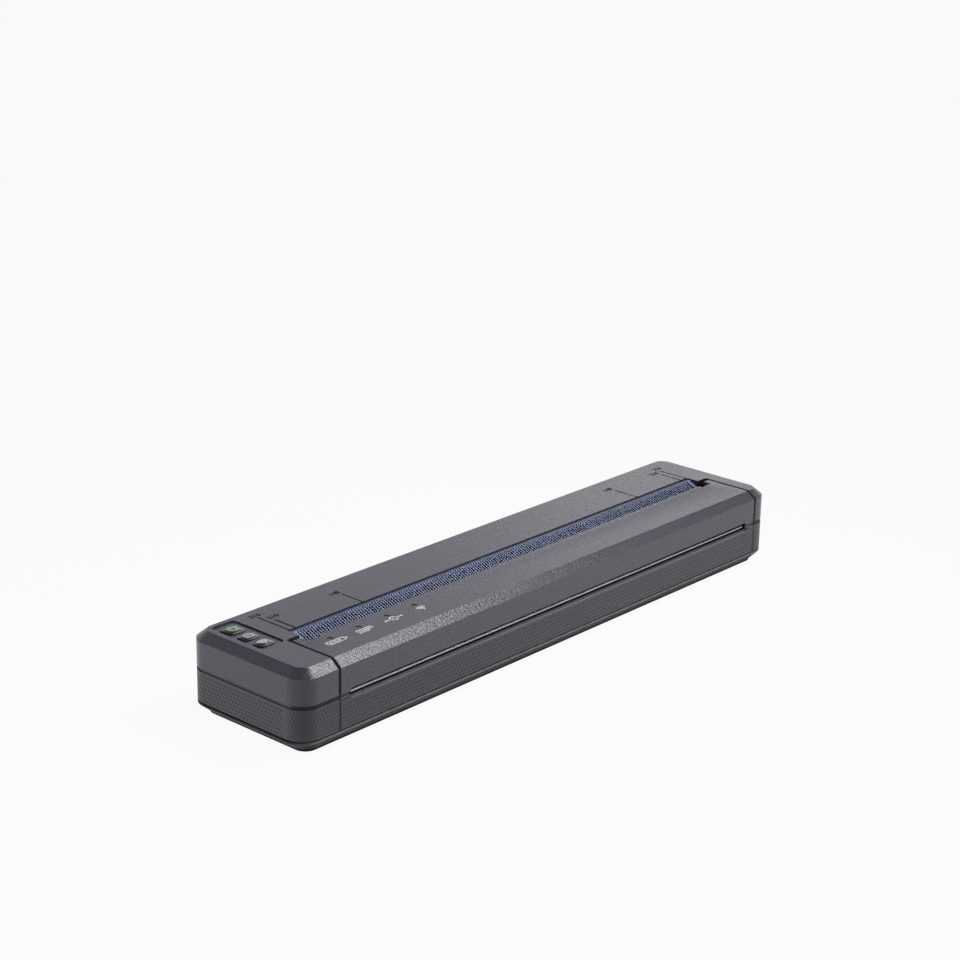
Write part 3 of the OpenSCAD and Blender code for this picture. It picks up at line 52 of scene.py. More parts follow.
# Places and sizes on the CAD model, in millimetres
CASE_L = 255.0
CASE_W = 55.0
CASE_H = 30.0
CORNER_R = 7.6
GROOVE_Z = 17.25  # middle of the groove between the upper and the lower case
SEAM_XS = (-110.6, 117.8)  # seams beside the release cover
SEAM_END_Y = -3.3  # rear end of both seams
MOUTH_X = 3.8  # middle of the feed mouth
MOUTH_HALF = 109.3
SEAM_HALF = 114.0
MOUTH_Y1 = 2.8
MARKS = (  # x of each cut paper mark and y of its rear end
    (-104.5, 18.1),
    (-101.75, 12.4),
    (-70.05, 12.7),
    (80.9, 13.9),
    (109.1, 12.5),
    (112.3, 15.5),
)
PANEL_X = (-122.5, -111.0)  # walls round the sunk key panel
PANEL_Y = (-3.8, 22.6)
PANEL_Z = (29.53, 29.9)
BUTTON_X = -117.35
BUTTON_YS = {"power": 16.1, "feed": 8.3, "wireless": 0.9}
BUTTON_TOP = 30.2
BUTTON_REACH = 3.7  # half the smaller spacing of the keys
LIGHT_X0 = -99.9
LIGHT_PITCH = 13.35
LIGHT_Y = -11.6
LIGHT_COUNT = 4
SLOT_X0 = -110.2
SLOT_X1 = 116.2
SLOT_Z0 = 16.15
TOP_Z = 29.0  # only the flat top lies above this
FRONT_Y = -26.0  # only the front wall lies before this
NIP_Y = -19.8  # where the platen meets the print head
NIP_Z = 20.41
PATH_ANGLE = math.radians(23.509)
RIB_X0 = -102.65
RIB_X1 = 110.55
RIB_PITCH = 1.2
LIP_Y = 1.05  # front edge of the ramp's smooth lip

# Shade painted in the joints, in millimetres from a joint's middle: fully dark, fully clear
GROOVE_FADE = (0.55, 0.8)
SEAM_FADE = (0.5, 0.76)
STEP_FADE = (0.4, 0.65)
MARK_FADE = (0.26, 0.4)
GROOVE_FRONT_Y = -22.0  # before this the groove is nearly black, behind it only a soft line
GROOVE_SHADE = 0.25
GROOVE_FRONT_SHADE = 0.7
PANEL_SHADE = 0.85

# Skins: a noise's usual span, and the heights where the top's painted reflection tint sets in
NOISE_SPAN = (0.3, 0.7)
TOP_TINT_Z = (29.3, 29.9)

# Dimples of the lower walls and pressed border of the slot, in millimetres
DIMPLE_ROWS = 7
DIMPLE_TOP_Z = 15.1
DIMPLE_PITCH_Z = 1.4167
DIMPLES_PER_QUARTER = 103.0
DIMPLE_FADE = (0.2, 0.42)
DIMPLE_SHADE = 0.75
CORNER_REACH = 2.0  # the dimples fade on a front corner and this far along the end
CORNER_DIMPLE_CUT = 0.65
BARE_Z = SLOT_Z0 - 1.5  # no dimples beside the slot above this
BORDER_Z = (SLOT_Z0 - 0.8, SLOT_Z0 + 0.2)
BORDER_SHADE = 0.9
RIM_Z = (SLOT_Z0 - 1.15, SLOT_Z0 - 0.85)
RIM_LIGHT = 0.45

# Printed signs, in millimetres
INK = 0.02
INK_LIFT = 0.01
KEY_INK_LIFT = 0.03
NUMBER_SIZE = 3.1
NUMBER_GROWTH = 0.09  # how far a number's strokes grow to each side
WIDTH_NUMBERS = (
    ("216", -104.3, 19.6),
    ("210", -100.3, 14.8),
    ("148", -71.6, 14.9),
    ("148", 79.4, 16.0),
    ("210", 107.6, 14.8),
    ("216", 113.2, 17.8),
)
SIGN_Y = -15.2

# Copies of CAD nodes with smooth shading, each with the width of its edge rounds
SKINS = {
    "upper_case": 0.18,
    "release_cover": 0.18,
    "lower_case": 0.0,
    "front_panel": 0.0,
    "base_tray": 0.0,
    "feed_ramp": 0.0,
    "power_button": 0.0,
    "feed_button": 0.0,
    "wireless_button": 0.0,
}
# Nodes that don't take the finish of their material slot
OWN_FINISH = {"base_tray": "tray", "battery_case": "pack", "tear_bar": "blade"}
MERGE_SKIN = 0.002 * MM
MERGE_PRINT = 0.001 * MM
FLAT_ANGLE = math.radians(0.4)
SHARP_ANGLE = math.radians(25.0)
SMOOTH_ANGLE = math.radians(28.0)

# Where the edges to be rounded lie, in millimetres: half lengths and widths, then heights
EDGE_SIDE = (126.9, 26.9)
EDGE_CHAMFER = (123.5, 23.5)
EDGE_CHAMFER_Z = 26.5
EDGE_TOP_Z = 29.4
CUT_X = (-106.0, 114.0)  # the cut paper marks, whose edges stay sharp
CUT_Y = (2.7, 19.0)
CUT_Z = 29.6

# Camera, fitted to the edges of the case in the photograph
CAMERA_AZIMUTH = math.radians(-48.275)
CAMERA_ELEVATION = math.radians(19.012)
CAMERA_ROLL = math.radians(0.985)
CAMERA_DISTANCE = 793.462 * MM
CAMERA_TARGET = Vector((-13.854, 0.0, 60.838)) * MM
CAMERA_LENS = 84.07
CAMERA_SENSOR = 36.0
CAMERA_REACH = (0.01, 20.0)

# Area lamps: name, place, aim, size, watts and spread in degrees
LAMPS = (
    ("key_softbox", (0.24, -0.25, 0.56), (-0.13, -0.01, 0.02), (0.26, 0.22), 0.44, 72.0),
    ("right_strip", (0.75, -0.85, 0.12), (0, 0, 0.02), (0.3, 0.16), 4.9, 180.0),
    ("left_strip", (-0.9, 0.6, 0.07), (-0.12, 0, 0.02), (0.3, 0.1), 4.3, 180.0),
    ("back_strip", (1.0, 0.6, 0.38), (0.04, 0, 0.02), (0.4, 0.25), 0.35, 180.0),
)
FLOOR_SIZE = 12.0
FLOOR_DROP = 0.0002
FLOOR_SHADED = 0.06  # share of the lit floor in what the camera sees
CEILING_LIGHT = 0.07
HORIZON = (0.35, 0.7)  # heights between which reflections go from the backdrop to the ceiling
CEILING_SHARE = 0.25


# Shader building


def feed(tree, place, value):
    """Links an input to a value or socket, or sets it to a plain number, vector or colour."""
    if isinstance(value, Value):
        tree.links.new(value.socket, place)
    elif isinstance(value, bpy.types.NodeSocket):
        tree.links.new(value, place)
    elif place.type == "RGBA":
        place.default_value = (*value, 1.0)
    else:
        place.default_value = value


def add_node(tree, kind, settings=None, **inputs):
    """Adds a node with its settings and inputs, the inputs' names with _ for a space."""
    made = tree.nodes.new(kind)
    for key, value in (settings or {}).items():
        setattr(made, key, value)
    for key, value in inputs.items():
        feed(tree, made.inputs[key.replace("_", " ")], value)
    return made


class Value:
    """A number in a node tree that can be added, scaled and compared like a plain number."""

    def __init__(self, tree, socket):
        self.tree = tree
        self.socket = socket

    def maths(self, operation, *others):
        made = add_node(self.tree, "ShaderNodeMath", {"operation": operation})
        for place, value in zip(made.inputs, (self, *others)):
            feed(self.tree, place, value)
        return Value(self.tree, made.outputs[0])

    def __add__(self, other):
        return self.maths("ADD", other)

    __radd__ = __add__

    def __sub__(self, other):
        return self.maths("SUBTRACT", other)

    def __rsub__(self, other):
        return self * -1.0 + other

    def __mul__(self, other):
        return self.maths("MULTIPLY", other)

    __rmul__ = __mul__

    def __truediv__(self, other):
        return self.maths("DIVIDE", other)

    def __rtruediv__(self, other):
        return self.maths("POWER", -1.0) * other

    def __gt__(self, other):
        return self.maths("GREATER_THAN", other)

    def __lt__(self, other):
        return self.maths("LESS_THAN", other)

    def least(self, other):
        return self.maths("MINIMUM", other)

    def most(self, other):
        return self.maths("MAXIMUM", other)

    def absolute(self):
        return self.maths("ABSOLUTE")

    def squared(self):
        return self.maths("POWER", 2.0)

    def between(self, low, high):
        """1 between the two bounds and 0 outside them."""
        return (self > low) * (self < high)

    def ramp(self, low, high, to_low=0.0, to_high=1.0):
        made = add_node(self.tree, "ShaderNodeMapRange", {"clamp": True}, Value=self, From_Min=low,
                        From_Max=high, To_Min=to_low, To_Max=to_high)
        return Value(self.tree, made.outputs["Result"])

    def widened(self, to_low=0.0, to_high=1.0):
        """Spreads a noise, which keeps near its middle, over the whole range asked for."""
        return self.ramp(*NOISE_SPAN, to_low, to_high)


class Finish:
    """A material on one Principled shader."""

    def __init__(self, name, colour, roughness, metallic=0.0, **inputs):
        self.material = bpy.data.materials.new(name)
        self.material.use_nodes = True
        self.material.diffuse_color = (*colour, 1.0)
        self.tree = self.material.node_tree
        self.shader = self.tree.nodes["Principled BSDF"]
        self.shader.inputs["Base Color"].default_value = (*colour, 1.0)
        self.shader.inputs["Roughness"].default_value = roughness
        self.shader.inputs["Metallic"].default_value = metallic
        for key, value in inputs.items():
            self.shader.inputs[key.replace("_", " ")].default_value = value

    def node(self, kind, settings=None, **inputs):
        return add_node(self.tree, kind, settings, **inputs)

    def place(self):
        return self.node("ShaderNodeTexCoord").outputs["Object"]

    def xyz(self):
        parts = self.node("ShaderNodeSeparateXYZ", Vector=self.place())
        return [Value(self.tree, parts.outputs[i]) for i in range(3)]

    def xyz_mm(self):
        return [part * MM_PER_METRE for part in self.xyz()]

    def noise(self, scale, detail=2.0, roughness=0.5, vector=None):
        made = self.node("ShaderNodeTexNoise", Vector=vector or self.place(), Scale=scale,
                         Detail=detail, Roughness=roughness)
        return Value(self.tree, made.outputs["Fac"])

    def blend(self, amount, low, high):
        made = self.node("ShaderNodeMix", {"data_type": "RGBA"})
        for index, value in ((0, amount), (6, low), (7, high)):
            feed(self.tree, made.inputs[index], value)
        return made.outputs[2]

    def colour(self, socket):
        feed(self.tree, self.shader.inputs["Base Color"], socket)

    def rough(self, value):
        feed(self.tree, self.shader.inputs["Roughness"], value)

    def bump(self, height, distance):
        made = self.node("ShaderNodeBump", Height=height, Distance=distance, Strength=1.0)
        feed(self.tree, self.shader.inputs["Normal"], made.outputs["Normal"])


def linear(*levels):
    """A colour for the shaders from its screen levels of 0 to 255."""

    def one(v):
        v = v / 255.0
        return v / 12.92 if v <= 0.04045 else ((v + 0.055) / 1.055) ** 2.4

    return tuple(one(level) for level in levels)


def scaled(colour, factor, lift=0.0):
    return tuple(min(1.0, c * factor + lift) for c in colour)


# Finishes


def joint_shade(finish, marks=False):
    """Painted shade: 1 on open skin, falling to 0 in the groove, seams, cut marks and the key
    panel's walls.
    """
    x, y, z = finish.xyz_mm()
    in_groove = (z - GROOVE_Z).absolute().ramp(*GROOVE_FADE, 1.0, 0.0)
    darkening = (y < GROOVE_FRONT_Y) * -GROOVE_FRONT_SHADE - GROOVE_SHADE
    open_skin = in_groove * darkening + 1.0
    for seam_x in SEAM_XS:
        apart = (x - seam_x).absolute().ramp(*SEAM_FADE)
        open_skin = open_skin.least(apart.most(y > SEAM_END_Y))
    across = (x - MOUTH_X).absolute()
    beside_mouth = across.between(MOUTH_HALF, SEAM_HALF) * (z > TOP_Z)
    step = (y - SEAM_END_Y).absolute().ramp(*STEP_FADE, 1.0, 0.0) * beside_mouth
    open_skin = open_skin.least(1.0 - step)
    if marks:
        for mark_x, mark_y in MARKS:
            beside = (x - mark_x).absolute().ramp(*MARK_FADE)
            beyond = (y > mark_y).most(y < MOUTH_Y1)
            open_skin = open_skin.least(beside.most(beyond))
    # painted shade on the walls of the sunk key panel
    wall = z.between(*PANEL_Z) * x.between(*PANEL_X) * y.between(*PANEL_Y)
    return open_skin * (1.0 - wall * PANEL_SHADE)


def moulded(name, colour, fleck=0.09, joints=True, marks=False, top=None):
    """Spark-textured plastic: light-catching pits, painted shade where two mouldings meet, a
    painted reflection tint on top.
    """
    grain, rough, rough_swing = 1200.0, 0.3, 0.07
    finish = Finish(name, colour, rough)
    fine = finish.noise(grain * 1.9, 2.0, 0.6)
    coarse = finish.noise(grain, 1.5, 0.5)
    darker = scaled(colour, 1.0 - fleck)
    lighter = scaled(colour, 1.0 + fleck, 0.002)
    grained = finish.blend(coarse.widened(), darker, lighter)
    # painted reflection: the flat top takes a more violet colour in place of the violet cast of
    # its reflection
    if top:
        height = finish.xyz()[2] * MM_PER_METRE
        grained = finish.blend(height.ramp(*TOP_TINT_Z), grained, top)
    roughness = fine.widened(rough - rough_swing, rough + rough_swing)
    if joints:
        shade = joint_shade(finish, marks)
        grained = finish.blend(shade, (0.002, 0.002, 0.002), grained)
        roughness = (roughness - 1.0) * shade + 1.0
    finish.colour(grained)
    finish.rough(roughness)
    finish.bump(fine * 0.35 + coarse, 0.11 * MM)
    return finish


def key_plastic(name):
    """The keys' plastic, with a crown that bends the light, a painted reflection on each key's far
    side and painted shade on its near side.
    """
    finish = Finish(name, linear(66, 64, 70), 0.28)
    x, y, z = finish.xyz_mm()
    out_y = y * 0.0
    for key_y in BUTTON_YS.values():
        apart = y - key_y
        out_y = out_y + apart * (apart.absolute() < BUTTON_REACH)
    out_x = x - BUTTON_X
    crown = (out_x.squared() + out_y.squared()) * -0.045
    # painted reflection on the far side of each key, fading to painted shade on the near side
    far_side_reflection = (out_x + out_y).ramp(-3.2, 3.6)
    fine = finish.noise(1500.0, 2.0, 0.6)
    finish.colour(finish.blend(far_side_reflection + fine * 0.1, linear(36, 34, 38), linear(150, 146, 160)))
    finish.rough(fine.widened(0.24, 0.32))
    finish.bump(crown + fine * 0.03, 1.0 * MM)
    return finish


def tray_plastic(name):
    """The tray's plastic: near black, with painted shade on its down-facing foot, painted light on
    the foot's left end and a painted highlight as a lighter upright band along the front.
    """
    finish = Finish(name, linear(30, 28, 30), 0.45, Specular_IOR_Level=0.03)
    x, y, z = finish.xyz_mm()
    grained = finish.noise(700.0).widened()
    # the foot: the tray's own dark colour, kept near black as painted shade
    foot = finish.blend(grained, linear(28, 26, 27), linear(40, 38, 39))
    # painted light on the foot at the left end
    lit_at_end = x.ramp(-125.0, -121.0, 0.8, 0.0)
    foot = finish.blend(lit_at_end, foot, linear(68, 65, 70))
    # painted highlight: a lighter upright band along the front
    band = finish.blend(grained, linear(112, 111, 117), linear(128, 127, 133))
    on_lit_band = z.ramp(4.0, 4.35) * y.ramp(-27.0, -21.0, 1.0, 0.0)
    finish.colour(finish.blend(on_lit_band, foot, band))
    finish.rough(grained.ramp(0.0, 1.0, 0.4, 0.55))
    finish.bump(finish.noise(900.0), 0.04 * MM)
    return finish


def dotted(name, colour, dark):
    """The lower walls' skin: rows of small staggered dimples over the fine grain, darkened with
    painted shade.
    """
    straight_x, straight_y = CASE_L / 2 - CORNER_R, CASE_W / 2 - CORNER_R
    corner = CORNER_R * math.pi / 2
    pitch = (straight_y + corner + straight_x) / DIMPLES_PER_QUARTER
    black = (0.003, 0.003, 0.003)
    finish = Finish(name, colour, 0.46)
    x, y, z = finish.xyz_mm()
    fine = finish.noise(1500.0, 2.0, 0.6)

    # Way along the wall from the middle of an end, round the corner to the middle of a side
    over_x = x.absolute() - straight_x
    over_y = y.absolute() - straight_y
    turned = over_y.most(0.0).maths("ARCTAN2", over_x.most(0.001))
    round_part = turned * CORNER_R * (over_x > 0.0) + (over_x < 0.0) * corner
    along = y.absolute().least(straight_y) + round_part + (over_x * -1.0).most(0.0)

    # Distance to the nearest dimple, with every second row shifted by half a pitch
    down = (z * -1.0 + DIMPLE_TOP_Z) / DIMPLE_PITCH_Z
    row = (down + 0.5).maths("FLOOR")
    shift = row.maths("MODULO", 2.0).absolute() * 0.5
    off_x = (along / pitch + shift + 0.5).maths("FRACT") - 0.5
    off_z = down - row
    distance = ((off_x * pitch).squared() + (off_z * DIMPLE_PITCH_Z).squared()).maths("SQRT")
    on_front_corner = (over_x > 0.0) * (over_y > -CORNER_REACH) * (y < 0.0)
    inside = row.between(-0.5, DIMPLE_ROWS - 0.5) * (1.0 - on_front_corner * CORNER_DIMPLE_CUT)
    by_slot = x.between(SLOT_X0, SLOT_X1) * (y < FRONT_Y)
    clear = 1.0 - by_slot * (z > BARE_Z)
    dimple = distance.ramp(*DIMPLE_FADE, 1.0, 0.0) * inside * clear

    # Pressed border under the slot: a band of painted shade and a painted highlight on the rim
    # below it
    border = z.between(*BORDER_Z) * by_slot
    rim = z.between(*RIM_Z) * by_slot
    base = finish.blend(fine.widened(), scaled(colour, 0.87), scaled(colour, 1.15, 0.002))
    # painted shade in the dimples, weaker on the front corners
    marked = finish.blend(dimple * DIMPLE_SHADE, base, dark)
    marked = finish.blend(rim * RIM_LIGHT, marked, linear(100, 97, 100))
    marked = finish.blend(border * BORDER_SHADE, marked, black)
    finish.colour(finish.blend(joint_shade(finish), black, marked))
    finish.rough(dimple.ramp(0.0, 1.0, 0.46, 0.7))
    finish.bump(fine * 0.1 - dimple, 0.3 * MM)
    return finish


def smooth_plastic(name, colour, rough):
    """Fine moulded plastic with a slight unevenness in its colour and shine."""
    finish = Finish(name, colour, rough)
    fine = finish.noise(900.0)
    dust = finish.noise(45.0, 3.0, 0.6)
    finish.colour(finish.blend(dust.widened(), scaled(colour, 0.85), scaled(colour, 1.15)))
    finish.rough(dust.widened(rough - 0.05, rough + 0.08))
    finish.bump(fine, 0.02 * MM)
    return finish


def ribbed_blue(name):
    """Blue ramp plastic: deep blue groove floors, painted shade on their walls, painted highlight
    on rib tops, flanks and the ribs painted over the lip.
    """
    deep, low, high = linear(104, 116, 165), linear(22, 27, 58), linear(170, 180, 214)
    finish = Finish(name, linear(104, 114, 146), 0.42, Specular_IOR_Level=0.15)
    x, y, z = finish.xyz_mm()
    up = (z - NIP_Z) * math.cos(PATH_ANGLE) - (y - NIP_Y) * math.sin(PATH_ANGLE)
    stripe = ((x - RIB_X0) / RIB_PITCH).maths("FRACT").ramp(0.5, 0.6)
    flank = (x < RIB_X0).most(x > RIB_X1)
    raised = stripe.most(flank)
    on_rib = up.ramp(-0.5, -0.04).least(raised)
    # painted shade on the groove walls near the rib tops
    groove = finish.blend(up.ramp(-0.6, -0.1), deep, low)
    # painted highlight on the rib tops, the flanks and the ribs painted over the lip
    body = finish.blend(on_rib.most(raised * (y > 0.0)), groove, high)
    on_lip = y.ramp(LIP_Y - 0.1, LIP_Y + 0.1)
    finish.colour(finish.blend(on_lip, body, linear(92, 103, 136)))
    finish.rough(finish.noise(900.0).widened(0.36, 0.48))
    finish.bump(finish.noise(1400.0), 0.03 * MM)
    return finish


def metal(name, colour, rough):
    """Drawn or turned metal with fine lines along its length."""
    finish = Finish(name, colour, rough, 1.0)
    stretch = (40.0, 900.0, 900.0)
    mapping = finish.node("ShaderNodeMapping", Vector=finish.place(), Scale=stretch)
    lines = finish.noise(1.0, 3.0, 0.6, mapping.outputs["Vector"])
    stain = finish.noise(60.0, 3.0, 0.6)
    finish.colour(finish.blend(stain.ramp(0.3, 0.75), scaled(colour, 0.86), colour))
    finish.rough(lines.widened(rough - 0.08, rough + 0.12))
    finish.bump(lines, 0.012 * MM)
    return finish


def board_lacquer(name):
    """Green lacquer with a grid of raised traces under it."""
    finish = Finish(name, (0.02, 0.13, 0.05), 0.3)
    x, y, z = finish.xyz()
    wave = (x * 420.0).maths("SINE").absolute() * (y * 530.0).maths("SINE").absolute()
    trace = wave.ramp(0.72, 0.8)
    finish.colour(finish.blend(trace, (0.015, 0.11, 0.04), (0.05, 0.2, 0.08)))
    finish.bump(trace, 0.03 * MM)
    return finish


def rubber(name, colour):
    finish = Finish(name, colour, 0.75)
    patches = finish.noise(80.0).widened()
    finish.colour(finish.blend(patches, scaled(colour, 0.8), scaled(colour, 1.3)))
    finish.bump(finish.noise(1200.0, 3.0, 0.6), 0.03 * MM)
    return finish


def print_ink(name, colour):
    finish = Finish(name, colour, 0.6, Specular_IOR_Level=0.08)
    finish.bump(finish.noise(2500.0), 0.01 * MM)
    finish.rough(finish.noise(300.0).widened(0.52, 0.68))
    return finish


def make_finishes():
    """A finish for each material slot, and for the nodes with a finish of their own."""
    charcoal = linear(72, 70, 81)
    # the top's colour is a painted reflection tint
    case_top_reflection_tint = linear(70, 65, 85)
    return {
        "case": moulded("charcoal_case", charcoal, fleck=0.18, marks=True, top=case_top_reflection_tint),
        "pack": moulded("charcoal_pack", charcoal, joints=False),
        "dotted": dotted("dotted_case", linear(52, 49, 58), linear(26, 25, 28)),
        "black_plastic": smooth_plastic("black_plastic", (0.016, 0.016, 0.018), 0.4),
        "blue_plastic": ribbed_blue("blue_ribs"),
        "tray": tray_plastic("tray_black"),
        "button_plastic": key_plastic("key_plastic"),
        "lens": smooth_plastic("smoked_lens", (0.02, 0.02, 0.022), 0.12),
        "steel": metal("bright_steel", (0.62, 0.62, 0.64), 0.26),
        "blade": metal("brushed_blade", (0.56, 0.56, 0.58), 0.3),
        "motor_steel": metal("dull_steel", (0.42, 0.42, 0.44), 0.36),
        "rubber": rubber("black_rubber", (0.018, 0.018, 0.019)),
        "gear_plastic": smooth_plastic("natural_acetal", (0.72, 0.7, 0.63), 0.38),
        "brass": metal("bright_brass", (0.78, 0.56, 0.22), 0.25),
        "board": board_lacquer("board_lacquer"),
        "part_black": smooth_plastic("moulded_black", (0.012, 0.012, 0.013), 0.3),
        "ceramic": smooth_plastic("glazed_ceramic", (0.8, 0.76, 0.66), 0.15),
        "aluminium": metal("extruded_aluminium", (0.6, 0.61, 0.63), 0.34),
        "cell": smooth_plastic("cell_sleeve", (0.06, 0.16, 0.42), 0.25),
    }


# Pieces


def only(obj):
    bpy.ops.object.select_all(action="DESELECT")
    obj.select_set(True)
    bpy.context.view_layer.objects.active = obj


def edit_all():
    bpy.ops.object.mode_set(mode="EDIT")
    bpy.ops.mesh.select_all(action="SELECT")


def leave_edit():
    bpy.ops.object.mode_set(mode="OBJECT")


def add_and_apply(obj, name, kind, **settings):
    made = obj.modifiers.new(name, kind)
    for key, value in settings.items():
        setattr(made, key, value)
    bpy.ops.object.modifier_apply(modifier=made.name)


def set_material(obj, finish):
    obj.data.materials.clear()
    obj.data.materials.append(finish.material)


def apply_place(obj):
    only(obj)
    bpy.ops.object.transform_apply(location=True, rotation=True, scale=True)


def body_of_node(node):
    return next(body for body, nodes in record["behaviour"]["bodies"].items() if node in nodes)


def slot_of_node(node):
    return next(part["material_slot"] for part in record["subparts"] if part["node"] == node)


def finish_of_node(finishes, node):
    return finishes[OWN_FINISH.get(node, slot_of_node(node))]


def outer_edge(spot):
    """Tells from an edge's middle in mm whether it is outside the case and clear of the cuts."""
    x, y, z = spot
    on_side = abs(x) > EDGE_SIDE[0] or abs(y) > EDGE_SIDE[1]
    on_chamfer = z > EDGE_CHAMFER_Z and (abs(x) > EDGE_CHAMFER[0] or abs(y) > EDGE_CHAMFER[1])
    in_cut = z > CUT_Z and CUT_Y[0] < y < CUT_Y[1] and CUT_X[0] < x < CUT_X[1]
    return (z > EDGE_TOP_Z or on_side or on_chamfer) and not in_cut


def weigh_outer_edges(mesh):
    """Gives full bevel weight to the sharp outer edges of a mesh."""
    edit = bmesh.new()
    edit.from_mesh(mesh)
    layer = edit.edges.layers.float.new("bevel_weight_edge")
    for edge in edit.edges:
        if len(edge.link_faces) == 2 and edge.calc_face_angle() > SHARP_ANGLE:
            middle = (edge.verts[0].co + edge.verts[1].co) / 2.0 / MM
            edge[layer] = 1.0 if outer_edge(middle) else 0.0
    edit.to_mesh(mesh)
    edit.free()


def merged_copy(node, finish, bevel):
    """Replaces a CAD node with a smoothly shaded copy, its outer edges rounded by a width."""
    obj = bpy.data.objects.new(node + "_skin", frame["nodes"][node].data.copy())
    scene.collection.objects.link(obj)
    only(obj)
    edit_all()
    bpy.ops.mesh.remove_doubles(threshold=MERGE_SKIN)
    bpy.ops.mesh.dissolve_limited(angle_limit=FLAT_ANGLE)
    leave_edit()
    if bevel > 0.0:
        weigh_outer_edges(obj.data)
        add_and_apply(obj, "edge_rounds", "BEVEL", width=bevel * MM, segments=2,
                      limit_method="WEIGHT", use_clamp_overlap=True)
    bpy.ops.object.shade_smooth_by_angle(angle=SMOOTH_ANGLE)
    add_and_apply(obj, "flat_faces_lead", "WEIGHTED_NORMAL", keep_sharp=True)
    add_and_apply(obj, "triangles", "TRIANGULATE", min_vertices=5)
    set_material(obj, finish)
    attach(obj, body_of_node(node))
    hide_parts(node)


def select_in_mesh(mesh, chosen):
    """Selects the vertices that the function picks, in edit mode."""
    edit = bmesh.from_edit_mesh(mesh)
    for vert in edit.verts:
        vert.select = chosen(vert)
    edit.select_flush_mode()
    bmesh.update_edit_mesh(mesh)


def arc_band(name, centre, radius, width, start, sweep, steps):
    """A flat band of a circle in plan, from an edge spun about its centre."""
    bpy.ops.mesh.primitive_plane_add(size=1.0, location=(0, 0, 0))
    obj = bpy.context.active_object
    obj.name = name
    mesh = obj.data
    spot = Vector(centre) * MM
    turn = math.radians(start)
    bpy.ops.object.mode_set(mode="EDIT")
    bpy.ops.mesh.select_all(action="DESELECT")
    select_in_mesh(mesh, lambda vert: vert.co.y > 0)
    bpy.ops.mesh.delete(type="VERT")
    edit = bmesh.from_edit_mesh(mesh)
    edit.verts.ensure_lookup_table()
    for vert, reach in zip(edit.verts, (radius - width / 2, radius + width / 2)):
        vert.co = spot + Vector((reach * math.cos(turn), reach * math.sin(turn), 0)) * MM
    select_in_mesh(mesh, lambda vert: True)
    bpy.ops.mesh.spin(steps=steps, angle=-math.radians(sweep), center=spot, axis=(0, 0, 1))
    bpy.ops.mesh.select_all(action="SELECT")
    bpy.ops.mesh.remove_doubles(threshold=MERGE_PRINT)
    leave_edit()
    return obj


def bar(name, x0, x1, y0, y1, z):
    """A flat printed stroke with slightly clipped corners."""
    middle = ((x0 + x1) / 2 * MM, (y0 + y1) / 2 * MM, z * MM)
    bpy.ops.mesh.primitive_plane_add(size=1.0, location=middle)
    obj = bpy.context.active_object
    obj.name = name
    obj.scale = ((x1 - x0) * MM, (y1 - y0) * MM, 1.0)
    apply_place(obj)
    edit_all()
    clip = min(x1 - x0, y1 - y0) * 0.2 * MM
    bpy.ops.mesh.bevel(offset=clip, segments=2, affect="VERTICES")
    leave_edit()
    return obj


def number(name, text, x, y, z):
    bpy.ops.object.text_add(location=(x * MM, y * MM, z * MM))
    obj = bpy.context.active_object
    obj.name = name
    obj.data.body = text
    obj.data.size = NUMBER_SIZE * MM
    obj.data.align_x = "CENTER"
    obj.data.align_y = "CENTER"
    obj.data.resolution_u = 4
    obj.data.offset = NUMBER_GROWTH * MM
    bpy.ops.object.convert(target="MESH")
    obj = bpy.context.active_object
    apply_place(obj)
    return obj


def joined(name, parts, finish, body):
    """Joins flat printed shapes into one thin piece with a closed skin."""
    only(parts[0])
    for part in parts:
        part.select_set(True)
    bpy.ops.object.join()
    obj = bpy.context.active_object
    obj.name = name
    apply_place(obj)
    edit_all()
    bpy.ops.mesh.remove_doubles(threshold=MERGE_PRINT)
    bpy.ops.mesh.normals_make_consistent(inside=False)
    leave_edit()
    if sum(face.normal.z for face in obj.data.polygons) < 0:
        edit_all()
        bpy.ops.mesh.flip_normals()
        leave_edit()
    add_and_apply(obj, "ink", "SOLIDIFY", thickness=INK * MM, offset=1.0)
    set_material(obj, finish)
    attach(obj, body)


def waves(name, x, y, z, size):
    """Three arcs over a dot, the plain sign for a radio link."""
    foot = (x, y - size * 0.35, z)
    parts = []
    for i, share in enumerate((0.35, 0.62, 0.9)):
        parts.append(arc_band(name + "_arc" + str(i), foot, size * share, size * 0.2, 40, 100, 12))
    parts.append(arc_band(name + "_dot", foot, size * 0.07, size * 0.14, 0, 360, 16))
    return parts


def add_width_numbers(ink):
    z = CASE_H + INK_LIFT
    numbers = [number("width_" + text, text, x, y, z) for text, x, y in WIDTH_NUMBERS]
    joined("width_numbers", numbers, ink, "case")


def add_light_hole_shadows(ink):
    """Painted shadow on the far wall of each status light's hole, as a dark arc."""
    arcs = []
    for i in range(LIGHT_COUNT):
        spot = (LIGHT_X0 - 0.15 + i * LIGHT_PITCH, LIGHT_Y - 0.6, CASE_H + INK_LIFT)
        arcs.append(arc_band("light_hole_shadow_" + str(i), spot, 0.6, 0.95, -48, 190, 16))
    joined("light_hole_shadows", arcs, ink, "cover")


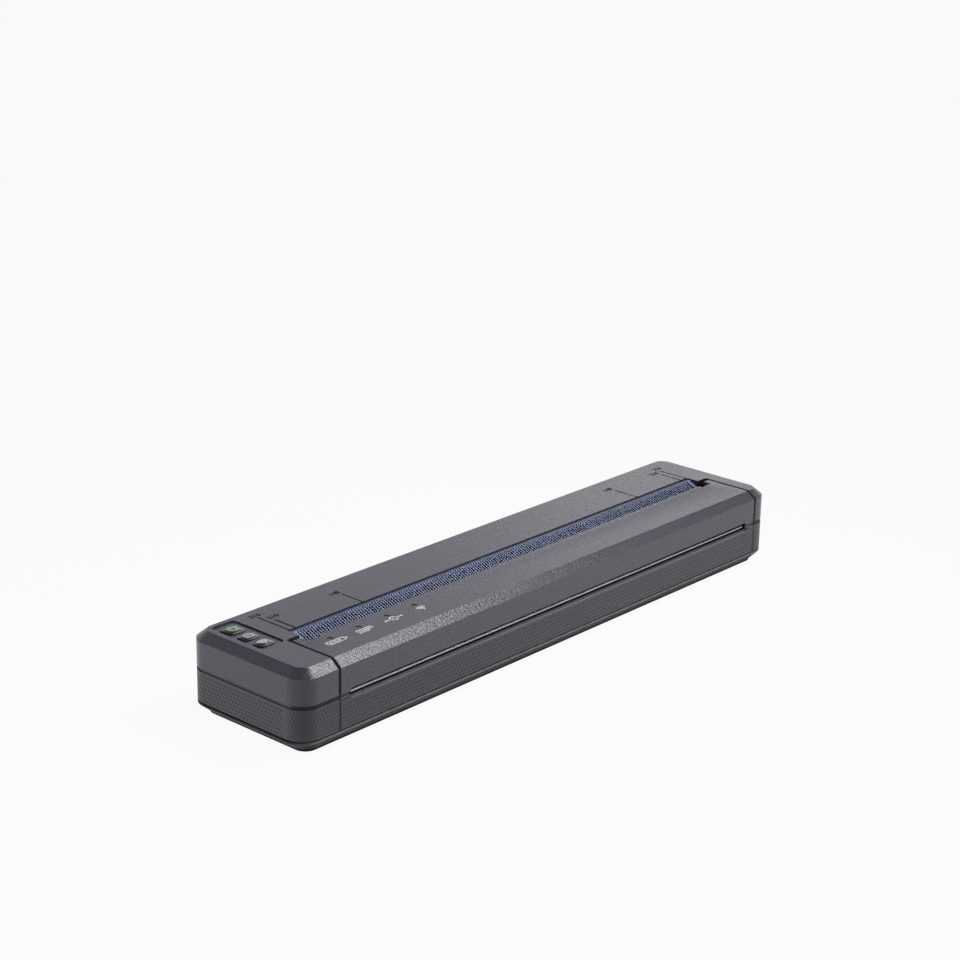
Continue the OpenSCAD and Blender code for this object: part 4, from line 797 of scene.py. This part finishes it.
def battery_sign(left, low, high, z):
    """A battery in outline, with a nub at its right end and three strokes for its charge."""
    right = left + 8.2
    parts = [
        bar("cell_low", left, right, low, low + 0.6, z),
        bar("cell_high", left, right, high - 0.6, high, z),
        bar("cell_left", left, left + 0.65, low, high, z),
        bar("cell_right", right - 0.65, right, low, high, z),
        bar("cell_nub", right + 0.12, right + 0.85, SIGN_Y - 0.6, SIGN_Y + 0.5, z),
    ]
    for i in range(3):
        x0, x1 = left + 1.1 + i * 1.85, left + 2.45 + i * 1.85
        parts.append(bar("cell_fill_" + str(i), x0, x1, SIGN_Y - 0.55, SIGN_Y + 0.45, z))
    return parts


def lines_sign(left, high, z):
    """Three lines like those of a printed page, the last one shorter."""
    return [
        bar("lines_" + str(i), left, left + length, high - 0.65 - i * 1.05, high - i * 1.05, z)
        for i, length in enumerate((7.3, 7.3, 5.0))
    ]


def state_sign(x, z):
    """A ring round a stroke and a point, with a dash on each side."""
    parts = [
        arc_band("state_ring", (x, SIGN_Y, z), 1.4, 0.62, 0, 360, 32),
        bar("state_stroke", x - 0.3, x + 0.3, SIGN_Y - 0.2, SIGN_Y + 0.8, z),
        bar("state_point", x - 0.3, x + 0.3, SIGN_Y - 0.85, SIGN_Y - 0.42, z),
    ]
    for side in (-1, 1):
        dash_x = x + side * 3.25
        parts.append(bar("state_dash_" + str(side), dash_x - 1.05, dash_x + 1.05, SIGN_Y - 0.4,
                         SIGN_Y + 0.4, z))
    return parts


def add_light_signs(ink):
    z = CASE_H + INK_LIFT
    left, low, high = LIGHT_X0 - 4.4, SIGN_Y - 1.45, SIGN_Y + 1.35
    parts = battery_sign(left, low, high, z)
    parts += lines_sign(left + LIGHT_PITCH + 0.6, high, z)
    parts += state_sign(LIGHT_X0 + 2 * LIGHT_PITCH, z)
    parts += waves("waves", LIGHT_X0 + 3 * LIGHT_PITCH - 0.1, SIGN_Y - 0.7, z, 3.0)
    joined("light_signs", parts, ink, "cover")


def add_key_signs(green, white):
    x, z = BUTTON_X, BUTTON_TOP + KEY_INK_LIFT
    y = BUTTON_YS["power"]
    ring = [
        arc_band("power_arc", (x, y, z), 1.55, 0.6, 120, 300, 28),
        bar("power_bar", x - 0.3, x + 0.3, y + 0.4, y + 2.0, z),
    ]
    joined("power_sign", ring, green, "power_key")
    y = BUTTON_YS["feed"]
    page = [
        bar("page_left", x - 1.7, x - 1.15, y - 1.5, y + 1.5, z),
        bar("page_right", x + 1.15, x + 1.7, y - 1.5, y + 1.5, z),
        bar("page_low", x - 1.7, x + 1.7, y - 1.5, y - 0.95, z),
        bar("page_high", x - 1.7, x + 1.7, y + 0.95, y + 1.5, z),
        bar("page_line", x - 0.6, x + 0.6, y - 0.25, y + 0.25, z),
    ]
    joined("page_sign", page, white, "feed_key")
    y = BUTTON_YS["wireless"] - 0.1
    joined("wave_sign", waves("key_waves", x, y, z, 3.1), white, "wireless_key")


def add_signs():
    white = print_ink("white_ink", linear(250, 250, 252))
    # the dark ink prints the numbers and also draws the painted shadows in the status lights'
    # holes
    dark = print_ink("dark_ink_and_painted_shadow", linear(14, 13, 14))
    green = print_ink("green_ink", linear(165, 240, 175))
    add_width_numbers(dark)
    add_light_hole_shadows(dark)
    add_light_signs(white)
    add_key_signs(green, white)


# Stage, light and camera


def show_white(tree, share, plain, white, output_kind):
    """Shows the white shader for the given share and the plain one for the rest."""
    mixed = add_node(tree, "ShaderNodeMixShader")
    for place, value in zip(mixed.inputs, (share, plain.outputs[0], white.outputs[0])):
        feed(tree, place, value)
    output = next(node for node in tree.nodes if node.type == output_kind)
    feed(tree, output.inputs["Surface"], mixed.outputs[0])


def add_floor():
    """A pale floor that keeps the object's shadow and looks white from anywhere."""
    bpy.ops.mesh.primitive_plane_add(size=FLOOR_SIZE, location=(0, 0, -FLOOR_DROP))
    floor = bpy.context.active_object
    floor.name = "floor"
    apply_place(floor)
    finish = Finish("pale_floor", (0.9, 0.9, 0.9), 0.9)
    tree = finish.tree
    path = finish.node("ShaderNodeLightPath")
    seen = Value(tree, path.outputs["Is Camera Ray"])
    seen = seen.most(Value(tree, path.outputs["Is Glossy Ray"]))
    seen = seen.most(Value(tree, path.outputs["Is Transmission Ray"]))
    white = finish.node("ShaderNodeEmission", Color=(1.0, 1.0, 1.0), Strength=1.0)
    show_white(tree, seen * (1.0 - FLOOR_SHADED), finish.shader, white, "OUTPUT_MATERIAL")
    floor.data.materials.append(finish.material)


def horizon_share(tree):
    """1 near the horizon and less overhead: reflections show a white backdrop, a dim ceiling."""
    place = add_node(tree, "ShaderNodeTexCoord")
    parts = add_node(tree, "ShaderNodeSeparateXYZ", Vector=place.outputs["Generated"])
    return Value(tree, parts.outputs[2]).ramp(*HORIZON, 1.0, CEILING_SHARE)


def add_world():
    world = bpy.data.worlds.new("studio")
    scene.world = world
    world.use_nodes = True
    tree = world.node_tree
    plain = tree.nodes["Background"]
    plain.inputs["Color"].default_value = (0.95, 0.96, 1.0, 1.0)
    plain.inputs["Strength"].default_value = CEILING_LIGHT
    white = add_node(tree, "ShaderNodeBackground", Color=(1.0, 1.0, 1.0), Strength=1.0)
    path = add_node(tree, "ShaderNodeLightPath")
    seen = Value(tree, path.outputs["Is Camera Ray"])
    seen = seen.most(Value(tree, path.outputs["Is Transmission Ray"]))
    seen = seen.most(horizon_share(tree) * Value(tree, path.outputs["Is Glossy Ray"]))
    show_white(tree, seen, plain, white, "OUTPUT_WORLD")


def add_lamps():
    for name, spot, aim, size, power, spread in LAMPS:
        bpy.ops.object.light_add(type="AREA", location=spot)
        lamp = bpy.context.active_object
        lamp.name = name
        lamp.data.shape = "RECTANGLE"
        lamp.data.size, lamp.data.size_y = size
        lamp.data.energy = power
        lamp.data.spread = math.radians(spread)
        toward = Vector(aim) - Vector(spot)
        lamp.rotation_euler = toward.to_track_quat("-Z", "Y").to_euler()


def add_camera():
    ca, sa = math.cos(CAMERA_AZIMUTH), math.sin(CAMERA_AZIMUTH)
    ce, se = math.cos(CAMERA_ELEVATION), math.sin(CAMERA_ELEVATION)
    cr, sr = math.cos(CAMERA_ROLL), math.sin(CAMERA_ROLL)
    back = Vector((sa * ce, -ca * ce, se))
    right = Vector((ca, sa, 0.0))
    up = back.cross(right)
    right, up = right * cr + up * sr, up * cr - right * sr
    spot = CAMERA_TARGET + back * CAMERA_DISTANCE
    bpy.ops.object.camera_add(location=spot)
    camera = bpy.context.active_object
    camera.name = "camera"
    turn = Matrix((right, up, back)).transposed().to_4x4()
    camera.matrix_world = Matrix.Translation(spot) @ turn
    camera.data.sensor_width = CAMERA_SENSOR
    camera.data.lens = CAMERA_LENS
    camera.data.clip_start, camera.data.clip_end = CAMERA_REACH
    scene.camera = camera


def main():
    add_camera()
    finishes = make_finishes()
    for node, obj in frame["nodes"].items():
        set_material(obj, finish_of_node(finishes, node))
    for node, bevel in SKINS.items():
        merged_copy(node, finish_of_node(finishes, node), bevel)
    add_signs()
    add_floor()
    add_world()
    add_lamps()


main()
